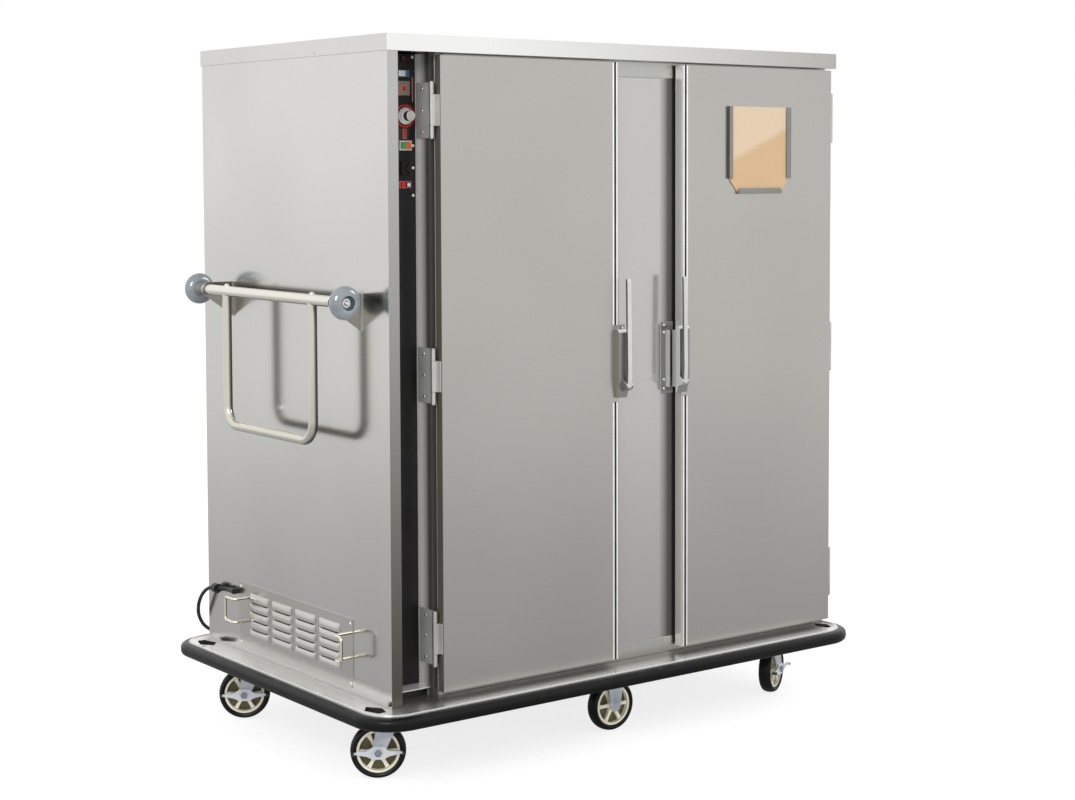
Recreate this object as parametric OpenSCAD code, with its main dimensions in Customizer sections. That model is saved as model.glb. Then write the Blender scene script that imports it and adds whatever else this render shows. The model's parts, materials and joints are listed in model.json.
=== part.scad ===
// Heated banquet cabinet on six casters, with two insulated doors, a control
// chase on the left and a push bar on the left side. Millimetres, +Z up.
// The origin is on the floor under the middle of the whole cabinet.

/* [Cabinet] */
// Width over the top cap
cab_w = 1359; // [1250:1:1500]
// Depth over the top cap
cab_d = 885; // [820:1:950]
// Height from the floor to the top of the cap
cab_h = 1680; // [1560:1:1800]
// Height of the folded edge of the cap
cap_flange = 38; // [28:1:50]
// Overhang of the cap past the right wall
cap_over_right = 6; // [0:1:12]
// Overhang of the cap past the back wall
cap_over_back = 8; // [0:1:14]
// Thickness of the folded sheet metal
sheet = 2; // [1.5:0.5:3]
// Width of the control chase, from the outer side to the insulated body
chase_w = 132; // [124:1:142]
// Thickness of the insulated walls
wall_t = 38; // [34:1:44]
// Distance from the front plane back to the face that the doors close on
face_setback = 36; // [35:0.5:40]
// Width of the front post of the outer side panel
post_w = 28; // [20:1:36]
// Depth of the recess in front of the control panel
recess_d = 95; // [92:1:120]

/* [Doors] */
// Width of each door
door_w = 504; // [470:1:510]
// Thickness of each door
door_t = 26; // [24:0.5:27]
// Distance from the front plane back to the door fronts
door_setback = 4; // [3:0.5:5]
// Distance from the outside of the body to the hinged edge of a door
door_edge_gap = 8; // [7:0.5:10]
// Gap between the top of a door and the cap
door_top_gap = 5; // [4:0.5:10]
// Gap between the bottom of a door and the deck
door_bottom_gap = 14; // [12:1:20]
// Thickness of the outer skin of a door
skin_t = 3; // [2.5:0.5:4]
// Width of the long groove beside the free edge of a door
groove_w = 6; // [4:0.5:8]
// Distance from the free edge of a door to its groove
groove_in = 8; // [6:0.5:12]
// Width of the seal
seal_w = 12; // [10:0.5:14]
// Distance from the door's edge to the seal
seal_in = 8; // [6:0.5:10]

/* [Hinges] */
// Length of a hinge
hinge_l = 124; // [100:1:150]
// Distance from a door's end to the middle of its end hinge
hinge_end = 122; // [90:1:180]
// Outside diameter of the hinge knuckles
knuckle_d = 12; // [11:0.5:13]
// Diameter of the hinge pins
hinge_pin_d = 6; // [5:0.5:7]
// Thickness of the hinge leaves
leaf_t = 3; // [2.5:0.5:3.5]
// Width of the frame leaf on the side wall
leaf_w = 50; // [30:1:54]
// Distance from the door's edge out to the hinge pin
pin_out = 13; // [12:0.5:14]
// Distance from the front plane back to the hinge pin
pin_back = 20; // [18:0.5:22]

/* [Latches] */
// Height of the bottom of the latch housing above the deck
latch_up = 648; // [500:1:800]
// Height of the latch housing
latch_h = 164; // [140:1:200]
// Depth that the latch housing stands out from the door
latch_d = 16; // [14:0.5:18]
// Length of the latch lever above its pivot
lever_l = 257; // [220:1:300]
// Width of the latch lever
lever_w = 12; // [10:0.5:14]
// Diameter of the latch pivot pin
lever_pin_d = 5; // [4:0.5:6]

/* [Base and bumper] */
// Height of the base under the deck top
base_h = 33; // [30:1:45]
// Overhang of the deck in front of the front plane
deck_front = 60; // [50:1:75]
// Overhang of the deck past the left side
deck_left = 64; // [50:1:80]
// Overhang of the deck past the right wall
deck_right = 4; // [0:1:12]
// Overhang of the deck past the back wall
deck_back = 36; // [30:1:50]
// Corner radius of the deck
deck_r = 75; // [60:1:90]
// Thickness of the bumper rail
rail_t = 4; // [3:0.5:6]
// Depth of the bumper strip outside its rail
strip_d = 20; // [16:1:26]
// Height of the bumper strip
strip_h = 28; // [24:1:29]

/* [Casters] */
// Diameter of the wheels
wheel_d = 127; // [110:1:130]
// Width of the tyres
tyre_w = 34; // [28:1:36]
// Overall height of a caster
caster_h = 157; // [157:1:175]
// Distance from a swivel axis to its wheel's axle
trail = 38; // [34:1:42]
// Distance from the deck's side edges to the swivel axes
caster_in_x = 137; // [125:1:160]
// Distance from the deck's front and back edges to the swivel axes
caster_in_y = 166; // [150:1:190]
// Distance from the deck's middle to the fixed casters
fixed_off = 50; // [0:1:100]
// Diameter of the wheel axles
axle_d = 10; // [8:0.5:12]
// Diameter of the swivel pins
king_d = 12; // [10:0.5:14]

/* [Push bar] */
// Diameter of the push bar
bar_d = 25; // [22:0.5:28]
// Length of the push bar between its round bumpers
bar_l = 664; // [600:1:700]
// Distance from each end of the push bar to its bracket
bracket_in = 29; // [20:1:60]
// Distance from the side panel out to the middle of the push bar
bar_out = 68; // [60:1:80]
// Height of the push bar above the floor
bar_z = 1091; // [950:1:1200]
// Distance from the front plane back to the middle of the push bar
bar_y = 421; // [400:1:440]
// Diameter of the round bumpers
puck_d = 76; // [64:1:90]
// Thickness of the round bumpers
puck_t = 34; // [28:1:40]
// Diameter of the tube of the hanging loop
loop_d = 22; // [18:0.5:24]
// Distance between the legs of the loop
loop_w = 410; // [360:1:460]
// Drop of the loop below the push bar
loop_drop = 322; // [260:1:380]
// Bend radius of the loop
loop_r = 45; // [36:1:60]

/* [Heat module] */
// Width of the louvred cover
vent_w = 546; // [520:1:580]
// Height of the louvred cover
vent_h = 162; // [156:1:180]
// Distance from the front plane back to the cover
vent_y = 163; // [140:1:180]
// Height of the cover above the deck
vent_up = 12; // [10:1:20]
// Number of louvre columns
vent_cols = 4; // [3:1:4]
// Number of louvre rows
vent_rows = 5; // [4:1:5]
// Length of a louvre
louvre_l = 90; // [80:1:96]
// Height of a louvre
louvre_h = 18; // [14:0.5:20]
// Depth that a louvre stands out
louvre_d = 7; // [5:0.5:9]
// Diameter of the rod of the module handles
rod_d = 7; // [5:0.5:8]
// Depth that the module handles stand out
handle_d = 44; // [36:1:50]
// Diameter of the blower wheel
blower_d = 84; // [70:1:90]
// Number of blades on the blower wheel
blower_n = 20; // [12:1:24]
// Width of the blower's box
blower_w = 62; // [54:1:66]
// Distance from the side panel to the blower's box
blower_in = 22; // [16:1:26]
// Thickness of the blower's box round its wheel
blower_wall = 8; // [6:1:10]
// Height of the blower's axis above the deck
blower_up = 66; // [58:1:80]
// Diameter of the tubular heating element
element_d = 8; // [6:0.5:10]
// Distance between the runs of the heating element
element_pitch = 30; // [24:1:34]

/* [Shelves] */
// Number of shelves in each half
shelf_n = 3; // [2:1:3]
// Height of the lowest shelf above the cabinet floor
shelf_first = 300; // [200:1:340]
// Distance between shelves
shelf_pitch = 340; // [260:1:350]
// Distance from the centre post and from the back wall to a shelf
shelf_inset = 14; // [10:1:20]
// Gap between a shelf and the posts beside it
shelf_gap = 6; // [4:1:8]
// Diameter of the shelf frame rods
frame_rod_d = 8; // [6:0.5:10]
// Diameter of the shelf wires
wire_d = 4; // [3:0.5:5]
// Side of the square shelf posts
post_s = 25; // [20:1:30]

/* [Controls] */
// Diameter of the thermostat knob's skirt
knob_d = 38; // [30:1:44]
// Distance from the top of the cap down to the middle of the knob
knob_down = 177; // [174:1:260]
// Width of the rocker switch
rocker_w = 24; // [20:1:28]
// Height of the rocker switch
rocker_h = 14; // [12:0.5:16]

/* [Card holder] */
// Width of the card holder
card_w = 208; // [160:1:240]
// Height of the card holder
card_h = 217; // [180:1:260]
// Depth of the card holder
card_d = 8; // [6:0.5:10]
// Width of the slanted lower corners of the card
card_cut = 30; // [24:1:36]
// Width of the channels of the card holder
card_lip = 13; // [11:0.5:18]
// Thickness of the sheet of the card holder
card_wall = 1.2; // [0.8:0.1:1.5]
// Distance from the top of the door to the card holder
card_down = 98; // [70:1:150]

/* [Power cord] */
// Diameter of the power cord
cord_d = 9; // [9:0.5:9]
// Length of the tapered strain relief where the cord leaves the side
gland_l = 30; // [20:1:40]
// Turns of the stored coil
coil_turns = 6; // [4:2:8]

/* [Hidden] */
$fn = 48;

// Clearances
pin_gap = 0.05;
press_gap = 0.02;
end_gap = 0.5;
soft_gap = 0.3;

// Heights and faces of the cabinet
deck_top = caster_h + base_h;
body_x0 = chase_w;
body_x1 = cab_w - cap_over_right;
body_y0 = face_setback;
body_y1 = cab_d - cap_over_back;
body_z0 = deck_top;
body_z1 = cab_h - cap_flange;
body_mid = (body_x0 + body_x1) / 2;
in_x0 = body_x0 + wall_t;
in_x1 = body_x1 - wall_t;
in_y1 = body_y1 - wall_t;
in_z0 = body_z0 + wall_t;
in_z1 = body_z1 - wall_t;

// Deck outline
deck_x0 = -deck_left;
deck_x1 = body_x1 + deck_right;
deck_y0 = -deck_front;
deck_y1 = body_y1 + deck_back;
deck_mid_x = (deck_x0 + deck_x1) / 2;
deck_mid_y = (deck_y0 + deck_y1) / 2;
bumper_out = rail_t + strip_d;

// Middle of the whole cabinet, without its cord
whole_x0 = -bar_out - puck_d / 2;
whole_x1 = deck_x1 + bumper_out;
centre_x = (whole_x0 + whole_x1) / 2;
centre_y = deck_mid_y;

// Left door; the right door is its mirror image about the body's middle
door_x0 = body_x0 + door_edge_gap;
door_x1 = door_x0 + door_w;
door_y0 = door_setback;
door_y1 = door_y0 + door_t;
door_z0 = deck_top + door_bottom_gap;
door_z1 = body_z1 - door_top_gap;
seal_t = face_setback - door_y1 - soft_gap;
post_overlap = seal_in + seal_w + 6;
pin_x = door_x0 - pin_out;
hinge_zs = [door_z0 + hinge_end, (door_z0 + door_z1) / 2, door_z1 - hinge_end];
mid_knuckle_l = 0.57 * hinge_l;

// Latch
latch_z0 = deck_top + latch_up;
latch_z1 = latch_z0 + latch_h;
latch_face_y = door_y0 - latch_d;
lever_x = door_x1 + 11;
lever_y = latch_face_y - 6;
lever_z = latch_z0 + 28;

// Casters
swivel_x0 = deck_x0 + caster_in_x;
swivel_x1 = deck_x1 - caster_in_x;
swivel_y0 = deck_y0 + caster_in_y;
swivel_y1 = deck_y1 - caster_in_y;
fixed_x = deck_mid_x + fixed_off;
front_left_turn = 148;
back_left_turn = 148;
front_right_turn = 29;
back_right_turn = 35;
leg_t = 3;
leg_in = tyre_w / 2 + 2.5;
leg_out = leg_in + leg_t;
crown_z = wheel_d + 4;
crown_t = 5;
brake_t = 4;

// Louvred cover and the module behind it
vent_z0 = deck_top + vent_up;
vent_z1 = vent_z0 + vent_h;
module_y0 = vent_y + 22;
module_y1 = vent_y + vent_w - 22;
blower_y = module_y1 - 75;
blower_z = deck_top + blower_up;
blower_x0 = sheet + blower_in;

// Controls on the recessed panel
panel_y = recess_d;
knob_x = 105;
knob_z = cab_h - knob_down;
rocker_x = 104;
rocker_z = knob_z - 33 / 19 * knob_d;

// Cord route, with round numbers measured from the front left corner of the cap.
// It starts at the end of the strain relief behind the cover.
outlet_y = vent_y + vent_w + 3 + gland_l;
cord_route = [
  [-13, outlet_y, 338], [-13, outlet_y + 18, 338], [-13, outlet_y + 35, 336],
  [-14, outlet_y + 50, 333], [-14, outlet_y + 66, 331], [-14, outlet_y + 84, 330],
  [-17, outlet_y + 110, 322], [-20, outlet_y + 134, 303], [-20, outlet_y + 153, 275],
  [-14, outlet_y + 164, 245], [0, outlet_y + 165, 218], [22, 903, 201], [48, 898, 195],
  [85, 896, 195], [130, 898, 195],
  [180, 895, 195], [225, 897, 195], [262, 905, 198], [290, 922, 202], [310, 943, 195],
  [322, 956, 168], [328, 961, 125], [333, 962, 80], [344, 960, 38], [366, 957, 12],
  [394, 956, 5], [411, 956, 5]
];
cord_steps = 2;
coil_x = 420;
coil_in_y = 956;
coil_pitch = cord_d + 0.8;
coil_z = 5;
coil_r = 68;
coil_rings = 24;
coil_tail = 42;
plug_l = 70;

module placed() {
  translate([-centre_x, -centre_y, 0]) children();
}

module mirrored() {
  translate([2 * body_mid, 0, 0]) mirror([1, 0, 0]) children();
}

// A box between two corners
module span_box(a, b) {
  translate(a) cube([b[0] - a[0], b[1] - a[1], b[2] - a[2]]);
}

// A plan outline with true round corners
module round_plan(x0, x1, y0, y1, r) {
  translate([x0 + r, y0]) square([x1 - x0 - 2 * r, y1 - y0]);
  translate([x0, y0 + r]) square([x1 - x0, y1 - y0 - 2 * r]);
  for (x = [x0 + r, x1 - r], y = [y0 + r, y1 - r]) translate([x, y]) circle(r = r);
}

// A profile (distance outside the deck edge, height) swept round the deck
module deck_ring() {
  hx = (deck_x1 - deck_x0) / 2;
  hy = (deck_y1 - deck_y0) / 2;
  translate([deck_mid_x, deck_mid_y, 0])
    for (k = [0 : 3]) {
      side = k % 2 == 0 ? hx : hy;
      run = k % 2 == 0 ? hy : hx;
      rotate([0, 0, 90 * k]) {
        translate([side, 0, 0]) rotate([90, 0, 0])
          linear_extrude(height = 2 * (run - deck_r), center = true) children();
        translate([side - deck_r, run - deck_r, 0])
          rotate_extrude(angle = 90, $fn = 64) translate([deck_r, 0]) children();
      }
    }
}

// A cylinder along X, Y or Z from a point
module bar_x(p, l, r) { translate(p) rotate([0, 90, 0]) cylinder(h = l, r = r); }
module bar_y(p, l, r) { translate(p) rotate([-90, 0, 0]) cylinder(h = l, r = r); }

// Low dome screw head facing the front
module screw_front(p, r) {
  translate(p) rotate([90, 0, 0]) {
    cylinder(h = 1.2, r = r, $fn = 24);
    translate([0, 0, 1.2]) cylinder(h = 0.8, r1 = r, r2 = 0.6 * r, $fn = 24);
  }
}

// Folded cap with a return lip that sits on the walls
module top_cap() color("gainsboro") placed() {
  lip = 22;
  difference() {
    span_box([0, 0, body_z1], [cab_w, cab_d, cab_h]);
    span_box([sheet, sheet, body_z1 + sheet], [cab_w - sheet, cab_d - sheet, cab_h - sheet]);
    span_box([lip, face_setback, body_z1 - 1], [cab_w - lip, cab_d - lip, body_z1 + sheet + 1]);
  }
}

// Outer left side: front post, flat side and back return in one folded sheet
module side_panel() color("silver") placed() {
  difference() {
    union() {
      span_box([0, 0, deck_top], [sheet, body_y1, body_z1]);
      span_box([0, 0, deck_top], [post_w, sheet, body_z1]);
      span_box([post_w - sheet, 0, deck_top], [post_w, recess_d, body_z1]);
      span_box([0, body_y1 - sheet, deck_top], [body_x0, body_y1, body_z1]);
    }
    span_box([-1, module_y0, deck_top + 14], [sheet + 1, module_y1, vent_z1 - 14]);
  }
}

// Insulated left wall, with the ports that carry warm air into the cabinet
module left_wall() color("silver") placed() {
  difference() {
    span_box([body_x0, body_y0, body_z0], [in_x0, body_y1, body_z1]);
    for (k = [0 : 2])
      span_box([body_x0 - 1, blower_y - 260 + 95 * k, in_z0 + 12],
               [in_x0 + 1, blower_y - 190 + 95 * k, in_z0 + 36]);
  }
}

module right_wall() color("silver") placed() {
  span_box([in_x1, body_y0, body_z0], [body_x1, body_y1, body_z1]);
}

module back_wall() color("silver") placed() {
  span_box([in_x0, in_y1, body_z0], [in_x1, body_y1, body_z1]);
}

module ceiling() color("silver") placed() {
  span_box([in_x0, body_y0, in_z1], [in_x1, in_y1, body_z1]);
}

module cabinet_floor() color("silver") placed() {
  span_box([in_x0, body_y0, body_z0], [in_x1, in_y1, in_z0]);
}

// Wide polished centre post that both doors close on
module mullion() color("lightgray") placed() {
  x0 = door_x1 - post_overlap;
  x1 = 2 * body_mid - x0;
  difference() {
    span_box([x0, body_y0, in_z0], [x1, body_y0 + wall_t, in_z1]);
    span_box([x0 + wall_t, body_y0 + sheet, in_z0 - 1],
             [x1 - wall_t, body_y0 + wall_t + 1, in_z1 + 1]);
  }
}

// Deck sheet with a turned-down skirt, a raised rim and stiffeners for the casters
module base_deck() color("silver") placed() {
  rim = 4;
  rim_h = 2;
  skirt = 3;
  beam = 100;
  difference() {
    union() {
      translate([0, 0, deck_top - skirt])
        linear_extrude(height = skirt) round_plan(deck_x0, deck_x1, deck_y0, deck_y1, deck_r);
      translate([0, 0, caster_h]) linear_extrude(height = base_h + rim_h) difference() {
        round_plan(deck_x0, deck_x1, deck_y0, deck_y1, deck_r);
        round_plan(deck_x0 + rim, deck_x1 - rim, deck_y0 + rim, deck_y1 - rim, deck_r - rim);
      }
      for (x = [swivel_x0, fixed_x, swivel_x1])
        span_box([x - beam / 2, deck_y0 + rim, caster_h], [x + beam / 2, deck_y1 - rim, deck_top - skirt]);
    }
    for (x = [swivel_x0, fixed_x, swivel_x1])
      span_box([x - beam / 2 + skirt, deck_y0 + rim + skirt, caster_h + skirt],
               [x + beam / 2 - skirt, deck_y1 - rim - skirt, deck_top - skirt]);
    span_box([0, 0, deck_top], [body_x1, body_y1, deck_top + rim_h + 1]);
    for (s = [-1, 1]) {
      translate([deck_x0 + 34, deck_mid_y + s * ((deck_y1 - deck_y0) / 2 - 84), deck_top - 10])
        hand_hole(s, 1.5);
      translate([deck_x1 - 38, deck_mid_y + s * ((deck_y1 - deck_y0) / 2 - 60), deck_top - 10])
        hand_hole(s, 1.2);
    }
  }
}

// Kite-shaped hand hole near a corner of the deck
module hand_hole(s, size) {
  linear_extrude(height = 20)
    polygon(size * [[0, -24 * s], [15, -4 * s], [7, 22 * s], [-7, 22 * s], [-15, -4 * s]]);
}

// Metal carrier of the bumper strip, with a lip under it
module bumper_rail() color("darkgray") placed() {
  deck_ring() polygon([
    [0, caster_h], [rail_t + 6, caster_h], [rail_t + 6, caster_h + 3], [rail_t, caster_h + 3],
    [rail_t, deck_top], [0, deck_top]
  ]);
}

// Black vinyl strip with a sloping top facet and a rounded nose
module bumper_strip() color([0.17, 0.17, 0.18]) placed() {
  z0 = caster_h + 3;
  z1 = z0 + strip_h;
  deck_ring() translate([rail_t, 0]) polygon([
    [0, z0], [0.72 * strip_d, z0], [0.92 * strip_d, z0 + 0.1 * strip_h], [strip_d, z0 + 0.3 * strip_h],
    [strip_d, z0 + 0.66 * strip_h], [0.88 * strip_d, z0 + 0.84 * strip_h],
    [0.6 * strip_d, z0 + 0.96 * strip_h], [0.3 * strip_d, z1], [0, z1]
  ]);
}

// Recessed black panel with the sill that closes the bottom of the chase
module control_panel() color([0.1, 0.1, 0.11]) placed() {
  sill = 20;
  difference() {
    union() {
      span_box([sheet, panel_y, deck_top + sill], [body_x0, panel_y + sheet, body_z1]);
      span_box([post_w, body_y0 + 14, deck_top + sill - sheet], [body_x0, panel_y + sheet, deck_top + sill]);
    }
    bar_y([knob_x, panel_y - 1, knob_z], sheet + 2, 3 + pin_gap);
    span_box([rocker_x - rocker_w / 2 - 2, panel_y - 1, rocker_z - rocker_h / 2 - 2],
             [rocker_x + rocker_w / 2 + 2, panel_y + sheet + 1, rocker_z + rocker_h / 2 + 2]);
  }
  span_box([post_w, body_y0 + 26, deck_top], [body_x0, body_y0 + 28, deck_top + sill - sheet]);
}

// Lens, read-out, switch frame, guard, lamps and screws on the control panel, in
// rows above and below the knob
module control_fittings() color("dimgray") placed() {
  u = knob_d / 38;
  bar_y([knob_x - 3, panel_y - 6, knob_z + 126 * u], 6, 8 * u);
  fitting([-20, 12], 3, [86, 104], u);
  fitting([-20, 12], 1.5, [46, 78], u);
  fitting([-18, 9], 1, [-53, -28], u);
  for (x = [-13, 1]) fitting([x, x + 10], 5, [-160, -148], u);
  difference() {
    span_box([rocker_x - rocker_w / 2 - 4, panel_y - 4, rocker_z - rocker_h / 2 - 4],
             [rocker_x + rocker_w / 2 + 4, panel_y, rocker_z + rocker_h / 2 + 4]);
    span_box([rocker_x - rocker_w / 2 - 1.2, panel_y - 5, rocker_z - rocker_h / 2 - 0.5],
             [rocker_x + rocker_w / 2 + 1.2, panel_y + 1, rocker_z + rocker_h / 2 + 0.5]);
    translate([rocker_x, panel_y - 2, rocker_z - rocker_h / 2 - 2.5])
      cylinder(h = rocker_h + 5, r = 1 + pin_gap, $fn = 24);
  }
  difference() {
    fitting([-14, 12], 9, [-132, -102], u);
    span_box([knob_x - 15 * u, panel_y - 10, knob_z - 124 * u],
             [knob_x + 13 * u, panel_y - 6, knob_z - 110 * u]);
  }
  for (z = [132, -66, -116, -178]) screw_front([body_x0 - 7, panel_y, knob_z + z * u], 3.2);
}

// Flat fitting on the panel: its sides and heights are distances from the knob's axis
module fitting(sides, depth, heights, u) {
  span_box([knob_x + sides[0] * u, panel_y - depth, knob_z + heights[0] * u],
           [knob_x + sides[1] * u, panel_y, knob_z + heights[1] * u]);
}

// Knob with a wide skirt, a narrower grip and its shaft
module thermostat_knob() color("white") placed() {
  translate([knob_x, panel_y - 1, knob_z]) rotate([90, 0, 0]) {
    cylinder(h = 3, r = knob_d / 2);
    translate([0, 0, 3]) cylinder(h = 7, r1 = knob_d / 2 - 1, r2 = knob_d / 2 - 4);
    translate([0, 0, 10]) cylinder(h = 14, r = 0.3 * knob_d);
    translate([-1.5, 0, 14]) cube([3, 0.3 * knob_d + 1, 10]);
    translate([0, 0, -8]) cylinder(h = 8, r = 3);
  }
}

// Rocker on its pivot pin
module power_switch() color("orange") placed() {
  translate([rocker_x, panel_y - 2, rocker_z]) {
    linear_extrude(height = rocker_h, center = true)
      polygon([[-rocker_w / 2, -3], [0, -4.5], [rocker_w / 2, -6], [rocker_w / 2, 0],
               [4, 6], [-4, 6], [-rocker_w / 2, 0]]);
    cylinder(h = rocker_h + 4, r = 1, center = true, $fn = 24);
  }
}

// Louvred cover plate with two rounded lower corners
module vent_panel() color("silver") placed() {
  r = 16;
  col_pitch = 112.5;
  row_pitch = 22;
  first_y = vent_y + vent_w / 2 - col_pitch * (vent_cols - 1) / 2;
  first_z = vent_z0 + 34;
  difference() {
    union() {
      rotate([90, 0, -90]) linear_extrude(height = sheet) {
        translate([-vent_y - vent_w, vent_z0 + r]) square([vent_w, vent_h - r]);
        translate([-vent_y - vent_w + r, vent_z0]) square([vent_w - 2 * r, vent_h]);
        for (y = [vent_y + r, vent_y + vent_w - r]) translate([-y, vent_z0 + r]) circle(r = r);
      }
      for (i = [0 : vent_cols - 1], k = [0 : vent_rows - 1])
        translate([-sheet, first_y + col_pitch * i, first_z + row_pitch * k]) louvre_shell(0);
    }
    for (i = [0 : vent_cols - 1], k = [0 : vent_rows - 1])
      translate([-sheet, first_y + col_pitch * i, first_z + row_pitch * k]) louvre_shell(1.2);
  }
  for (y = [vent_y + 10, vent_y + vent_w - 10])
    translate([-sheet, y, vent_z0 + 12]) rotate([0, -90, 0]) cylinder(h = 1.5, r = 4, $fn = 24);
}

// Hood along Y that leans out to its open lower edge. A cut of the same form,
// smaller by the wall on every side, opens it down to the slot in the plate.
module louvre_shell(cut) {
  l = louvre_l - 2 * cut;
  h = louvre_h - cut;
  d = louvre_d - cut;
  back = cut > 0 ? -sheet - 1 : 0;
  low = cut > 0 ? -1 : 0;
  translate([0, -l / 2, 0]) rotate([-90, -90, 0]) linear_extrude(height = l)
    polygon(concat([[low, -back], [low, -d]], [for (a = [0 : 10 : 90]) [h * sin(a), -d * cos(a)]],
                   cut > 0 ? [[h, -back]] : []));
}

// Two bright rod handles: legs out of the cover, then sideways to an upright grip
module module_handles() color([0.8, 0.77, 0.66]) placed() {
  rod_handle(vent_y + vent_w - 54, 1, 46);
  rod_handle(vent_y + 9, -1, 30);
}

module rod_handle(y, way, reach) {
  grip_h = 57;
  z0 = vent_z0 + 72;
  r = rod_d / 2;
  for (z = [z0, z0 + grip_h]) {
    bar_x([-handle_d, y, z], handle_d - sheet, r);
    translate([-handle_d, y, z]) sphere(r = r, $fn = 24);
    bar_y([-handle_d, way > 0 ? y : y - reach, z], reach, r);
    translate([-handle_d, y + way * reach, z]) sphere(r = r, $fn = 24);
  }
  translate([-handle_d, y + way * reach, z0]) cylinder(h = grip_h, r = r);
}

// Box of the blower with a round chamber and a motor shaft, on the module's tray
module blower_housing() color("gray") placed() {
  x0 = sheet + 2;
  x1 = body_x0 - 4;
  hx0 = blower_x0;
  hx1 = hx0 + blower_w;
  hs = blower_d / 2 + blower_wall;
  span_box([x0, module_y0, deck_top], [x1, module_y1, deck_top + sheet]);
  difference() {
    span_box([hx0, blower_y - hs, deck_top + sheet], [hx1, blower_y + hs, blower_z + hs]);
    bar_x([hx0 - 1, blower_y, blower_z], hx1 - hx0 - 3, blower_d / 2 + 2);
  }
  bar_x([hx0 + 6, blower_y, blower_z], hx1 - hx0 - 6, 4);
}

// Squirrel cage wheel on the motor shaft
module blower_wheel() color("lightgray") placed() {
  x0 = blower_x0 + 4;
  l = blower_w - 16;
  ring = 5;
  translate([x0, blower_y, blower_z]) rotate([0, 90, 0]) {
    for (z = [0, l - 3]) translate([0, 0, z]) difference() {
      cylinder(h = 3, r = blower_d / 2);
      translate([0, 0, -1]) cylinder(h = 5, r = z == 0 ? blower_d / 2 - ring - 3 : 4 + pin_gap);
    }
    difference() {
      translate([0, 0, 10]) cylinder(h = l - 11, r = 9);
      translate([0, 0, 9]) cylinder(h = l, r = 4 + pin_gap);
    }
    for (a = [0 : 360 / blower_n : 359]) rotate([0, 0, a])
      translate([blower_d / 2 - ring - 2, 0, 2]) rotate([0, 0, 30]) cube([ring + 1, 1.2, l - 4]);
  }
}

// Tubular heating element in one plane, bent back and forth
module heating_element() color([0.35, 0.33, 0.32]) placed() {
  r = element_d / 2;
  x = blower_x0 + blower_w / 2;
  y0 = module_y0 + 26;
  run = blower_y - blower_d / 2 - blower_wall - y0 - element_pitch;
  step = element_pitch;
  z0 = deck_top + element_pitch;
  n = 4;
  translate([x, y0, z0]) {
    for (k = [0 : n - 1]) bar_y([0, 0, step * k], run, r);
    for (k = [0 : n - 2])
      translate([0, k % 2 == 0 ? run : 0, step * (k + 0.5)]) rotate([90, 0, 90])
        rotate([0, 0, k % 2 == 0 ? -90 : 90])
          rotate_extrude(angle = 180, $fn = 48) translate([step / 2, 0]) circle(r = r, $fn = 24);
  }
  span_box([x - 6, y0, deck_top + sheet], [x + 6, y0 + 10, z0 + step * (n - 1) + 10]);
}

// Six wire shelves, each a rod frame under a row of wires
module wire_shelves() color("gainsboro") placed() {
  for (k = [0 : shelf_n - 1]) {
    shelf(in_z0 + shelf_first + shelf_pitch * k);
    mirrored() shelf(in_z0 + shelf_first + shelf_pitch * k);
  }
}

module shelf(z) {
  x0 = in_x0 + post_s + shelf_gap;
  x1 = body_mid - post_s / 2 - shelf_gap;
  y0 = body_y0 + wall_t + shelf_inset;
  y1 = in_y1 - shelf_inset;
  r = frame_rod_d / 2;
  wires = 13;
  pitch = (y1 - y0 - frame_rod_d) / (wires - 1);
  for (x = [x0 + r, x1 - r]) bar_y([x, y0, z], y1 - y0, r);
  bar_x([x0 + r, (y0 + y1) / 2, z], x1 - x0 - frame_rod_d, r);
  for (k = [0 : wires - 1])
    bar_x([x0, y0 + r + pitch * k, z + r + 0.35 * wire_d], x1 - x0, wire_d / 2);
}

// Six posts with slots and the clips that the shelves lie on
module shelf_posts() color("silver") placed() {
  for (y = [body_y0 + wall_t + 70, in_y1 - 70]) {
    shelf_post(in_x0, y, 1);
    mirrored() shelf_post(in_x0, y, 1);
    shelf_post(body_mid - post_s / 2, y, 2);
  }
}

module shelf_post(x, y, ways) {
  reach = shelf_gap + frame_rod_d;
  difference() {
    span_box([x, y - post_s / 2, in_z0], [x + post_s, y + post_s / 2, in_z1]);
    span_box([x + sheet, y - post_s / 2 + sheet, in_z0 - 1],
             [x + post_s - sheet, y + post_s / 2 - sheet, in_z1 + 1]);
  }
  for (k = [0 : shelf_n - 1]) {
    z = in_z0 + shelf_first + shelf_pitch * k - frame_rod_d / 2;
    span_box([x + post_s, y - 8, z - 12], [x + post_s + reach, y + 8, z]);
    if (ways == 2) span_box([x - reach, y - 8, z - 12], [x, y + 8, z]);
  }
}

// Push bar with its two gusset brackets
module push_bar() color("silver") placed() {
  bar_y([-bar_out, bar_y - bar_l / 2, bar_z], bar_l, bar_d / 2);
  for (s = [-1, 1]) bracket(bar_y + s * (bar_l / 2 - bracket_in));
}

// Bracket: narrow foot on the panel and a tapering gusset with a hole for the bar
module bracket(y) {
  drop = 68;
  foot = 12;
  foot_t = 3;
  eye = bar_d / 2 + 5;
  difference() {
    union() {
      span_box([-foot_t, y - foot / 2, bar_z - drop], [0, y + foot / 2, bar_z + eye]);
      translate([0, y + foot_t / 2, 0]) rotate([90, 0, 0]) linear_extrude(height = foot_t) {
        polygon([[0, bar_z - drop], [0, bar_z + eye], [-bar_out, bar_z + eye],
                 [-bar_out - 0.7 * eye, bar_z - 0.7 * eye]]);
        translate([-bar_out, bar_z]) circle(r = eye);
      }
    }
    bar_y([-bar_out, y - foot, bar_z], 2 * foot, bar_d / 2 + press_gap);
  }
}

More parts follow.
